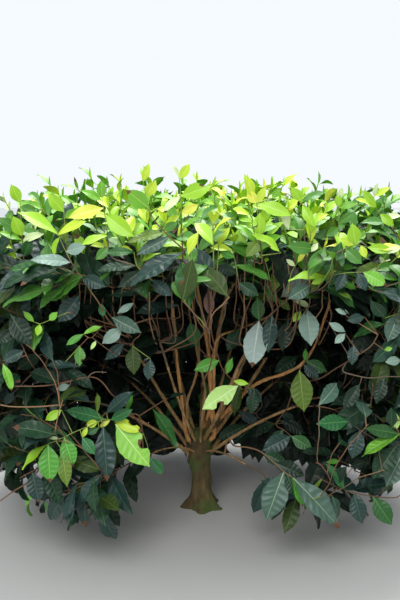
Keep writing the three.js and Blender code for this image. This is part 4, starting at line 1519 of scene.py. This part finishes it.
def upright_sprays() -> list[Spray]:
    """The bare shoots that stand close together under the front edge of the table.

    Returns:
        The sprays, none of them in front of the stem at the middle.
    """
    draw = np.random.default_rng(8)
    middle, clear_half, step, foot_row, top_row = 208.0, 8.0, 9.5, 336.0, 258.0
    sprays = []
    for number, across in enumerate(np.arange(66.0, 334.0, step)):
        lean, foot, top = draw.normal(size=3) * np.array([7.0, 9.0, 7.0]) + np.array([0.0, foot_row, top_row])
        across += draw.normal() * 2
        bend = across - 0.45 * lean + draw.normal() * 1.5
        stations = (
            (across - lean + 0.12 * (IMAGE_SIZE[0] / 2 - across), foot, -200.0, 3.4),
            (bend - 0.2 * lean, foot - 24.0, -262.0, 3.2),
            (bend, (foot + top) / 2, -316.0, 2.8),
            (across, top, -366.0, 2.0),
        )
        if abs(across - middle) > clear_half:
            sprays.append(Spray(f"upright_{number}", stations, green=-1.0, clear=3.0))
    return sprays


@dataclass
class FrontSprays:
    """The twigs and leaves that the photograph shows one by one, each grown on from the nearest wood."""

    eye: Eye
    limbs: list[Limb]
    twigs: list[Twig]
    sprays: list[Spray]
    toward: float = 0.22
    reach: float = 4.0
    straightness: float = 0.8
    upright_straightness: float = 3.0
    rise: float = 60.0
    too_high: float = 400.0
    table: float = 600.0
    stalk_radii: tuple[float, float] = (1.3, 0.8)
    stalk_depth: float = 4.0
    breadths: tuple[float, float] = (0.8, 1.25)
    twist_sway: float = 8.0
    veil_shares: Triple = (0.15, 0.5, 0.85)
    veil_margin: float = 5.0
    veil_depth: float = 6.0

    def __post_init__(self) -> None:
        """Works out all twigs and leaves."""
        self.young: list[Leaf] = []
        self.mature: list[Leaf] = []
        self.fresh: list[Leaf] = []
        self.veils: list[list[float]] = []
        self.grown: list[Twig] = []
        self.random = np.random.default_rng(21)
        wood = [limb.rows[:, :3] for limb in self.limbs] + [twig.points for twig in self.twigs]
        self.wood = first_wood = np.vstack(wood)
        for spray in self.sprays:
            if spray.name.startswith("upright"):
                self.grow(spray, first_wood, self.upright_straightness)
            else:
                self.grow(spray, self.wood, self.straightness)

    def grow(self, spray: Spray, wood: np.ndarray, straightness: float) -> None:
        """One spray.

        Args:
            spray: The spray as the photograph shows it.
            wood: Points from which it may spring.
            straightness: How much it prefers wood that lies straight behind its start.
        """
        stations = self.eye.route(*spray.stations)
        way = wood - stations[0, :3]
        onward = unit(stations[1, :3] - stations[0, :3])
        away = np.linalg.norm(way, axis=1)
        away = away + straightness * np.maximum(0, way @ onward + 0.5 * away)
        away[wood[:, 2] > stations[0, 2] + self.rise] += self.too_high
        joint = wood[int(np.argmin(away))]
        rows = smooth_route(np.vstack([[*joint, stations[0, 3] * 1.1], stations]), 6 * len(stations))
        high = bool(rows[-1, 2] > self.table)
        self.grown.append(self.twig(rows, high, spray.green))
        seen = self.eye.pixels(rows[:, :3])
        for place, row in zip(seen[6::2], rows[6::2]):
            self.veils.append([place[0], place[1], spray.clear, row[1] + self.veil_depth])
        for blade in spray.blades:
            near = int(np.argmin(np.hypot(*(seen - np.array(blade.root)).T)))
            root = rows[near, :3]
            if np.hypot(*(seen[near] - np.array(blade.root))) > self.reach:
                end = self.eye.point(*blade.root, root[1] - self.stalk_depth)
                side = np.column_stack([np.linspace(root, end, 4), np.linspace(*self.stalk_radii, 4)])
                self.grown.append(self.twig(side, high, spray.green))
                root = end
            self.hold(blade, root)
        self.wood = np.vstack([self.wood, rows[:, :3]])

    @staticmethod
    def twig(rows: np.ndarray, high: bool, green: float) -> Twig:
        """A twig from rows of a point and a radius, and the length of it that is green."""
        length = float(np.linalg.norm(np.diff(rows[:, :3], axis=0), axis=1).sum())
        return Twig(rows[:, :3], float(rows[0, 3]), float(rows[-1, 3]), length, -1, high, green)

    def hold(self, blade: Blade, root: np.ndarray) -> None:
        """One leaf, turned so that it shows as long and as wide as in the photograph.

        Args:
            blade: The leaf as the photograph shows it.
            root: Where it springs.
        """
        level = self.eye.point(*blade.tip, root[1])
        tip = self.eye.point(*blade.tip, root[1] - self.toward * float(np.linalg.norm(level - root)))
        kind = SHOWN_YOUNG if blade.tint in tint_names(YOUNG_TINTS) else SHOWN
        length = float(np.linalg.norm(tip - root))
        along = unit(tip - root)
        pixel = float(np.linalg.norm(root - np.array(self.eye.place))) / self.eye.focal
        ratio = blade.across * pixel / length / (kind.width / kind.length)
        broad = float(np.clip(ratio, *self.breadths))
        roll = math.acos(min(1.0, ratio / broad))
        facing = unit(np.array(self.eye.place) - root)
        facing = unit(facing - along * float(facing @ along))
        aside = np.cross(along, facing)
        choices = [facing * math.cos(roll) + aside * math.sin(roll) * sign for sign in (1, -1)]
        normal = max(choices, key=lambda choice: float(choice[2]))
        # It leaves its root a little above the straight way, as it droops back to its tip.
        lift = math.radians(kind.droop) / 2.25
        leaf = Leaf(
            root=root,
            along=along * math.cos(lift) + normal * math.sin(lift),
            normal=normal * math.cos(lift) - along * math.sin(lift),
            kind=kind,
            size=length / kind.length,
            tint=blade.tint,
            broad=broad,
            twist=float(self.random.normal()) * self.twist_sway,
            wave=float(self.random.random()),
            curl=blade.curl,
            scorched=blade.scorched,
            bitten=blade.bitten,
        )
        kinds = ((YOUNG_TINTS, self.young), (FRESH_TINTS, self.fresh), (MATURE_TINTS, self.mature))
        for tints, leaves in kinds:
            if blade.tint in tint_names(tints):
                leaves.append(leaf)
        clear = blade.across / 2 + self.veil_margin
        for share in self.veil_shares:
            at = root + (tip - root) * share
            self.veils.append([*self.eye.pixels(at), clear, at[1] + self.veil_depth])


@dataclass
class Foliage:
    """The leaves of all shoots, held by the source's rule, and sorted into pieces by what they are."""

    growth: Growth
    twigs: list[Twig]
    eye: Eye
    shown: FrontSprays
    turns: int = 6
    turn: float = 47.0
    roll: float = 0.9
    tested_shares: tuple[float, ...] = (0.3, 0.55, 0.8, 1.0)
    neighbours: int = 160
    limb_gap: float = 5.0
    droop_sway: float = 12.0
    twist_sway: float = 14.0
    curl_sway: float = 0.06
    scorched_share: float = 0.05
    bitten_share: float = 0.06
    pale_share: float = 0.07
    sunniest: float = 60.0
    sunny_width: float = 560.0
    sunny: tuple[float, ...] = (0.85, 0.42, -0.15)
    low_row: float = 410.0
    shaded_row: float = 264.0
    bare_share: float = 0.06
    end_angle: float = 12.0
    fresh_share: float = 0.03
    fresh_share_low: float = 0.12
    right_of: float = 120.0
    before: float = 60.0
    sunlit_height: float = 480.0
    sunlit_share: float = 0.26
    cut_length: float = 12.0
    carried_gap: float = 4.0
    tints_around: tuple[str, ...] = ("olive_green", "bottle_green", "deep_green", "slate_green")
    # The front right takes a lighter, greyer mix of tints, as painted sky sheen.
    sheen_tints_right: tuple[str, ...] = (
        "olive_green", "middle_green", "bottle_green", "slate_green", "blue_green", "grey_green"
    )
    tints_sunlit: tuple[str, ...] = ("grass_green", "middle_green", "blue_green", "olive_green")
    closed_rows: tuple[float, float] = (238.0, 462.0)
    closed_depth: float = 60.0
    least_gap: float = 18.0
    picks: int = 80
    builder: LeafBuilder = field(default_factory=LeafBuilder)

    def __post_init__(self) -> None:
        """Starts the lists of leaves with those that the photograph shows, and the seeded random row."""
        self.random = np.random.default_rng(11)
        self.young = list(self.shown.young)
        self.mature = list(self.shown.mature)
        self.fresh = list(self.shown.fresh)
        self.veils = np.array(self.shown.veils)
        self.midribs: list[np.ndarray] = []
        self.bare_ends: list[float] = []
        self.bare_end = 0.0

    def veiling(self, lines: np.ndarray) -> np.ndarray:
        """Which leaves would hide one that the photograph shows.

        Args:
            lines: For each leaf, points along its midrib.

        Returns:
            True for each leaf that stands before a shown one.
        """
        seen = self.eye.pixels(lines)[:, :, None, :]
        off = np.hypot(seen[..., 0] - self.veils[:, 0], seen[..., 1] - self.veils[:, 1])
        before = lines[:, :, None, 1] < self.veils[:, 3]
        return ((off < self.veils[:, 2]) & before).any(axis=(1, 2))

    def place(
        self, twig: Twig, back: float, kind: LeafKind, size: float, angle: float, phase: float
    ) -> Leaf | None:
        """One leaf of a twig, at the freest of some turns round it.

        Args:
            twig: The twig.
            back: How far from its tip the leaf's root is, in millimetres.
            kind: The kind of leaf.
            size: Its size beside the kind's.
            angle: Radians between the twig and the leaf.
            phase: Degrees round the twig at which it first tries.

        Returns:
            The leaf, or nothing where it would leave the crown or touch a limb.
        """
        at, heading = twig.at(max(0.0, 1 - back / twig.length))
        outward = unit(np.array([at[0], at[1], 0.0]))
        side = unit(np.cross(heading, outward if abs(heading[2]) > 0.9 else UP))
        angles = np.radians(phase + np.arange(self.turns) * self.turn)
        radial = turned(np.repeat(side[None], self.turns, axis=0), heading, angles)
        along = heading * math.cos(angle) + radial * math.sin(angle)
        sway = self.random.normal() * kind.sway
        along = unit(along + UP * (kind.lift + sway) + outward * kind.outward)
        normal = UP + outward * kind.facing
        normal = unit(normal - along * (along @ normal)[:, None])
        normal = turned(normal, along, (self.random.random(self.turns) - 0.5) * self.roll)
        length = kind.length * size
        shares = np.array(self.tested_shares)
        drop = shares**2 * math.radians(kind.droop) / 2
        lines = at + along[:, None] * shares[:, None] * length - normal[:, None] * (drop * length)[:, None]
        reach = self.growth.crown.reach(lines).max(axis=1)
        fine = (reach < 1.0) & (lines[:, :, 2].min(axis=1) > self.growth.crown.skirt)
        fine &= ~self.growth.in_window(lines).any(axis=1) & ~self.veiling(lines)
        if not fine.any():
            return None
        if self.midribs:
            others = np.vstack(self.midribs[-self.neighbours :])
            gaps = np.linalg.norm(lines[:, :, None] - others[None, None], axis=3).min(axis=(1, 2))
        else:
            gaps = np.zeros(self.turns)
        best = int(np.argmax(np.where(fine, gaps, -1e9)))
        if self.growth.near_limb(lines[best]) < self.limb_gap:
            return None
        self.midribs.append(lines[best])
        self.bare_end = min(self.bare_end, back)
        draw = self.random.normal(size=4)
        return Leaf(
            root=at,
            along=along[best],
            normal=normal[best],
            kind=kind,
            size=size,
            droop=float(draw[0]) * self.droop_sway,
            twist=float(draw[1]) * self.twist_sway,
            wave=float(self.random.random()),
            curl=float(draw[2]) * self.curl_sway,
            scorched=bool(self.random.random() < self.scorched_share),
            bitten=int(self.random.integers(2, 6)) if self.random.random() < self.bitten_share else -1,
        )

    def grow_young(self, twig: Twig, phase: float) -> None:
        """The bud and the young leaves at the tip of a shoot that reaches the table.

        Args:
            twig: The shoot.
            phase: Degrees round it at which its first leaf stands.
        """
        names = tint_names(YOUNG_TINTS)
        deep, pale = names.index("flush_deep"), names.index("flush_pale")
        off = abs(twig.points[-1][0] - self.sunniest) / self.sunny_width
        sunny = 0.5 - off + 0.4 * self.random.normal()
        tint = sum(sunny <= least for least in self.sunny)
        if self.random.random() < self.pale_share:
            tint = pale
        bud = self.place(twig, 0, BUD, 0.8 + 0.4 * self.random.random(), math.radians(5), phase)
        if bud:
            bud.tint = names[tint]
            self.young.append(bud)
        least, most = YOUNG.angles
        for i in range(5):
            share = (i + 0.5) / 5
            angle = math.radians(least + (most - least) * share)
            size = (0.58 + 0.6 * share) * (0.85 + 0.3 * self.random.random())
            turn = phase + (i + 1) * GOLDEN_ANGLE
            leaf = self.place(twig, 3 + i * YOUNG.spacing, YOUNG, size, angle, turn)
            if leaf:
                darker = (i > 1) + (i > 3) + int(self.random.random() < 0.25)
                leaf.tint = names[pale if tint == pale and i < 2 else min(deep, min(tint, deep - 1) + darker)]
                if self.eye.pixels(leaf.root)[1] > self.shaded_row:
                    leaf.tint = "flush_deep"
                self.young.append(leaf)

    def grow_mature(self, twig: Twig, phase: float, start: float, count: int) -> None:
        """The full-grown leaves of a shoot, from near its tip down.

        Args:
            twig: The shoot.
            phase: Degrees round it at which its first leaf stands.
            start: How far from its tip the first one stands.
            count: How many there may be.
        """
        kind = SPREADING if twig.high else HANGING
        name = self.growth.masses[twig.mass].name
        tip = twig.points[-1]
        reach = float(self.growth.crown.reach(tip))
        low = float(self.eye.pixels(tip)[1]) > self.low_row
        share = 0.0 if tip[1] < 0 and not low else self.fresh_share
        if name == "low_left" and low:
            share = self.fresh_share_low
        fresh = not twig.high and self.random.random() < share
        # Leaves on the front right take the lighter, greyer tints, as painted sky sheen.
        right = tip[0] > self.right_of and tip[1] < self.before
        tints = self.sheen_tints_right if right else self.tints_around
        least, most = kind.angles
        for i in range(count):
            back = start + i * kind.spacing
            if back > twig.length * (1 - self.bare_share):
                break
            angle = math.radians(least + (most - least) * (i / max(1, count - 1)))
            if back == 0:
                angle = math.radians(self.end_angle)
            size = 0.8 + 0.34 * self.random.random()
            leaf = self.place(twig, back, kind, size, angle, phase + i * GOLDEN_ANGLE)
            if not leaf:
                continue
            dice = self.random.random()
            if fresh and i < 4:
                light = dice < 0.3 and low
                leaf.tint = "fresh_light" if light else "fresh_green" if dice < 0.7 else "fresh_deep"
                self.fresh.append(leaf)
                continue
            if twig.high and i < 2 and dice < 0.7:
                leaf.tint = tint_names(MATURE_TINTS)[self.random.integers(0, 4)]
            elif twig.high:
                leaf.tint = tints[int(dice * len(tints))]
            # Leaves deep inside the crown take the darkest tints, as painted shade.
            elif reach < 0.8:
                leaf.tint = "shade_green" if dice < 0.7 else "deep_green"
            elif tip[2] > self.sunlit_height and dice < self.sunlit_share:
                leaf.tint = self.tints_sunlit[int(dice * 15)]
            else:
                leaf.tint = tints[self.random.integers(0, len(tints))]
            self.mature.append(leaf)

    def grow(self) -> None:
        """The leaves of all shoots."""
        for twig in self.twigs:
            self.bare_end = twig.length
            phase = float(self.random.random() * 360)
            if twig.high:
                self.grow_young(twig, phase)
                self.grow_mature(twig, phase + 60, 104, 6)
            else:
                self.grow_mature(twig, phase, 0, 8)
            self.bare_ends.append(self.bare_end)
        self.twigs = self.cut_twigs()

    def cut_twigs(self) -> list[Twig]:
        """The twigs, each cut off beyond the last leaf or twig that it carries.

        Returns:
            Those that carry anything.
        """
        shares = np.linspace(0.15, 1, 80)
        kept: list[Twig] = []
        for twig, bare_end in reversed(list(zip(self.twigs, self.bare_ends))):
            if bare_end > self.cut_length:
                feet = np.array([other.points[0] for other in kept + self.shown.grown])
                gaps = np.linalg.norm(feet[:, None] - twig.at(shares)[0][None], axis=2).min(axis=0)
                last = max([1 - bare_end / twig.length, *shares[gaps < self.carried_gap]])
                if last < 0.1:
                    continue
                twig.points = twig.at(np.linspace(0, min(1.0, last + 0.02), len(twig.points)))[0]
            kept.append(twig)
        return kept[::-1]

    def build(self) -> list[Piece]:
        """All pieces of leaves, of which the mature ones are sorted by the side on which they grow.

        Returns:
            The finished pieces.
        """
        names = [mass.name for mass in self.growth.masses]
        table = ["leaves_" + name for name in names if name.startswith(("crest", "table"))]
        rest = ["leaves_" + name for name in names if name.startswith(("skirt", "low_right", "hanging"))]
        builder = self.builder
        pieces = [
            builder.build("young_leaves", self.young, YOUNG_TINTS, Slot.YOUNG, table, False),
            builder.build("fresh_leaves", self.fresh, FRESH_TINTS, Slot.BRIGHT, ["leaves_low_left"], True),
        ]
        sides = ["right", "back_right", "back_left", "left", "front_left", "front_right"]
        middles = np.array([0.0, 60.0, 120.0, 180.0, 235.0, 305.0])
        for number, side in enumerate(sides):
            own = []
            for leaf in self.mature:
                azimuth = math.degrees(math.atan2(leaf.root[1], leaf.root[0]))
                off = np.abs((azimuth - middles + 180) % 360 - 180)
                if int(np.argmin(off)) == number:
                    own.append(leaf)
            solids = rest if side == "right" else []
            name = "mature_leaves_" + side
            pieces.append(builder.build(name, own, MATURE_TINTS, Slot.MATURE, solids, True))
        for place, step, furthest in (("inner", 1.5, 56.0), ("innermost", 1.0, 85.0)):
            own = self.inner_leaves(pieces, step, furthest)
            name = "mature_leaves_" + place
            pieces.append(builder.build(name, own, MATURE_TINTS, Slot.MATURE, [], True))
        return pieces

    def inner_leaves(self, pieces: list[Piece], step: float, furthest: float) -> list[Leaf]:
        """The leaves that fill the places where light still falls through the crown from behind.

        Args:
            pieces: The leaves that are there.
            step: Pixels between one look and the next.
            furthest: How far from its twig's point such a place may be, in millimetres.

        Returns:
            Shaded leaves of the twigs at the back, each across such a place.
        """
        graph = bpy.context.evaluated_depsgraph_get()
        trees = [BVHTree.FromObject(piece, graph) for piece in pieces]
        eye = np.array(self.eye.place)
        wood = np.vstack([twig.points[1:] for twig in self.twigs])
        wood = wood[wood[:, 1] > self.closed_depth]
        ways = wood - eye
        inner: list[Leaf] = []
        spans: list[tuple[np.ndarray, np.ndarray]] = []
        for down in np.arange(*self.closed_rows, step):
            for across in np.arange(1.0, IMAGE_SIZE[0], step):
                ray = unit(self.eye.point(across, down, 0.0) - eye)
                if any(tree.ray_cast(Vector(eye) * MILLIMETRE, Vector(ray))[0] for tree in trees):
                    continue
                pixel = np.array([across, down])
                if any(self.covers(root, tip, pixel) for root, tip in spans):
                    continue
                beside = eye + ray * (ways @ ray)[:, None] - wood
                gaps = np.linalg.norm(beside, axis=1)
                picks = np.argsort(np.where(gaps > self.least_gap, gaps, 1e6))[: self.picks]
                lengths = HANGING.length * (0.95 + 0.2 * self.random.random())
                lengths = np.maximum(lengths, gaps[picks] * 1.6)
                tips = wood[picks] + unit(beside[picks]) * lengths[:, None]
                fine = (gaps[picks] < furthest) & (tips[:, 2] > self.growth.crown.skirt)
                fine &= self.growth.crown.reach(tips) < 1
                if not fine.any():
                    continue
                pick = int(np.argmax(fine))
                root, tip = wood[picks[pick]], tips[pick]
                along = unit(tip - root)
                normal = unit(-ray + 0.3 * self.random.normal(size=3))
                normal = unit(normal - along * float(normal @ along))
                # The leaves across the gaps take the darkest tints, as painted shade.
                tint = "deep_green" if self.random.random() < 0.3 else "shade_green"
                size = lengths[pick] / HANGING.length
                inner.append(Leaf(root, along, normal, HANGING, size, tint, droop=-20.0))
                ends = self.eye.pixels(np.array([root, tip]))
                spans.append((ends[0], ends[1]))
        LOG.info("%d leaves across light gaps", len(inner))
        return inner

    @staticmethod
    def covers(root: np.ndarray, tip: np.ndarray, pixel: np.ndarray) -> bool:
        """Whether a leaf surely covers a pixel.

        Args:
            root: The pixel of its root.
            tip: The pixel of its tip.
            pixel: The pixel.

        Returns:
            True if the pixel lies close beside the leaf's middle.
        """
        way = tip - root
        share = float((pixel - root) @ way / (way @ way))
        off = float(np.linalg.norm(pixel - root - way * share))
        return 0.2 < share < 0.75 and off < 4.5


@dataclass
class TwigMesh:
    """The twigs as one mesh of thin tubes, brown below and green at their young ends."""

    twigs: list[Twig]
    sides: int = 5
    green_length: float = 55.0
    brown: LeafTint = LeafTint("twig_brown", "6E4E36", "6E4E36", 0.7)
    green: LeafTint = LeafTint("twig_green", "7E9040", "7E9040", 0.5)
    grey: LeafTint = LeafTint("twig_grey", "665846", "665846", 0.8)
    tan: LeafTint = LeafTint("twig_tan", "8C6C4C", "8C6C4C", 0.7)

    def build(self) -> Piece:
        """Makes the tubes, brown or grey, and green towards the tips of the young ones.

        Returns:
            The finished piece.
        """
        places, faces, paints = [], [], []
        start = 0
        turn = np.linspace(0, 2 * math.pi, self.sides, endpoint=False)[None, :, None]
        for number, twig in enumerate(self.twigs):
            rows = len(twig.points)
            heading = unit(np.gradient(twig.points, axis=0))
            guide = np.array([1.0, 0.0, 0.0]) if abs(heading[0][0]) < 0.8 else np.array([0.0, 1.0, 0.0])
            side = unit(np.cross(heading, guide))
            other = np.cross(heading, side)
            radius = np.linspace(twig.foot_radius, twig.tip_radius, rows)[:, None, None]
            ring = side[:, None] * np.cos(turn) + other[:, None] * np.sin(turn)
            points = twig.points[:, None] + ring * radius
            grid = np.arange(rows * self.sides).reshape(rows, self.sides) + start
            after = np.roll(grid, -1, axis=1)
            quads = np.stack([grid[:-1], after[:-1], after[1:], grid[1:]], axis=-1).reshape(-1, 4)
            back = (1 - np.arange(rows - 1) / (rows - 1)) * twig.length
            young = (twig.high | (number % 8 == 0)) & (twig.green >= 0)
            green = (back <= self.green_length + twig.length / rows) & young | (back <= twig.green)
            paint = np.where(green, 1, (2, 0, 3, 0)[number % 4])
            places.append(points.reshape(-1, 3))
            faces.append(quads)
            paints.append(np.repeat(paint, self.sides))
            start += rows * self.sides
        joints = np.vstack(places) * MILLIMETRE
        piece = mesh_from_arrays("twigs", joints, np.vstack(faces), np.concatenate(paints))
        dress(piece, [tint.materials()[0] for tint in (self.brown, self.green, self.grey, self.tan)])
        return piece


# The studio.


@dataclass
class Studio:
    """A plain pale floor, a bright even sky and two large soft lamps."""

    sky: Triple = (0.92, 0.96, 1.0)
    horizon: Triple = (0.1, 0.105, 0.11)
    floor: Triple = (0.5, 0.5, 0.48)
    far_floor: Triple = (0.92, 0.93, 0.94)
    floor_radius: float = 14.0
    fade: tuple[float, float] = (1.4, 7.0)
    aim: Triple = (0.0, 0.0, 0.5)

    def build(self) -> None:
        """Makes the floor, the sky and the lamps."""
        bpy.ops.object.select_all(action="DESELECT")
        bpy.ops.mesh.primitive_circle_add(vertices=96, radius=self.floor_radius, fill_type="NGON")
        floor = bpy.context.view_layer.objects.active
        floor.name = "studio_floor"
        material = new_material("pale_floor", {"Roughness": 0.9})
        tree = material.node_tree
        place = added(tree, "TexCoord", {}).outputs["Object"]
        away = added(tree, "VectorMath", {"Vector": place}, operation="LENGTH").outputs["Value"]
        near, far = self.fade
        fade = added(tree, "MapRange", {"From Min": near, "From Max": far, "Value": away})
        colors = {"A": (*self.floor, 1.0), "B": (*self.far_floor, 1.0)}
        paint = added(tree, "Mix", {"Factor": fade.outputs["Result"], **colors}, data_type="RGBA")
        fill(tree, tree.nodes["Principled BSDF"], {"Base Color": paint.outputs["Result"]})
        floor.data.materials.append(material)
        self.build_sky()
        self.build_lamp("back_lamp", (0.3, 0.9, 3.2), 2.6, 150.0)
        self.build_lamp("front_lamp", (-0.5, -2.6, 2.4), 2.0, 60.0)
        bpy.context.scene.view_settings.view_transform = "Standard"

    def build_lamp(self, name: str, place: Triple, size: float, energy: float) -> None:
        """A soft round lamp that is turned to the bush.

        Args:
            name: Its name.
            place: Where it hangs, in metres.
            size: Its width, in metres.
            energy: Its power, in watts.
        """
        data = bpy.data.lights.new(name, "AREA")
        data.shape, data.size, data.energy = "DISK", size, energy
        lamp = bpy.data.objects.new(name, data)
        lamp.location = place
        lamp.rotation_euler = (Vector(self.aim) - lamp.location).to_track_quat("-Z", "Y").to_euler()
        bpy.context.scene.collection.objects.link(lamp)

    def build_sky(self) -> None:
        """Makes a sky that lights from above, as an overcast one does, and shows plain and pale."""
        world = bpy.data.worlds.new("overcast_sky")
        world.use_nodes = True
        tree = world.node_tree
        place = added(tree, "TexCoord", {}).outputs["Generated"]
        parts = added(tree, "SeparateXYZ", {"Vector": place})
        rise = added(tree, "ValToRGB", {"Fac": parts.outputs["Z"]})
        low, high = rise.color_ramp.elements
        low.position, low.color = 0.02, (*self.horizon, 1.0)
        high.position, high.color = 0.55, (*self.sky, 1.0)
        seen = added(tree, "LightPath", {}).outputs["Is Camera Ray"]
        colors = {"A": rise.outputs["Color"], "B": (*self.sky, 1.0)}
        shown = added(tree, "Mix", {"Factor": seen, **colors}, data_type="RGBA")
        fill(tree, tree.nodes["Background"], {"Color": shown.outputs["Result"]})
        bpy.context.scene.world = world


def main() -> None:
    """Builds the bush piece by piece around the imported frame."""
    logging.basicConfig(level=logging.INFO, format="%(name)s: %(message)s")
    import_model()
    eye, crown, masses, trunk = Eye(), CrownShape(), all_masses(), Trunk()
    eye.build()
    Studio().build()
    stems = Stems(eye, trunk, crown, masses)
    boughs = stems.boughs()
    front = stems.front_stems()
    rooted = boughs + [limb for limb in front if not limb.name.startswith("stem_fork_")]
    LOG.info("%s", trunk.build(rooted).name)
    for piece in stems.build(boughs + front):
        LOG.info("%s", piece.name)
    growth = Growth(crown, masses, boughs, boughs + front)
    twigs = growth.grow()
    sprays = LOW_SPRAYS + WINDOW_SPRAYS + TABLE_SPRAYS + SIDE_SPRAYS + upright_sprays()
    shown = FrontSprays(eye, boughs + front, twigs, sprays)
    LOG.info("%d twigs, and %d that the photograph shows", len(twigs), len(shown.grown))
    foliage = Foliage(growth, twigs, eye, shown)
    foliage.grow()
    TwigMesh(foliage.twigs + shown.grown).build()
    foliage.build()
    for piece in bpy.context.scene.objects:
        if piece.type == "MESH":
            triangles = sum(len(face.vertices) - 2 for face in piece.data.polygons)
            LOG.info("%s: %d triangles", piece.name, triangles)


if __name__ == "__main__":
    main()
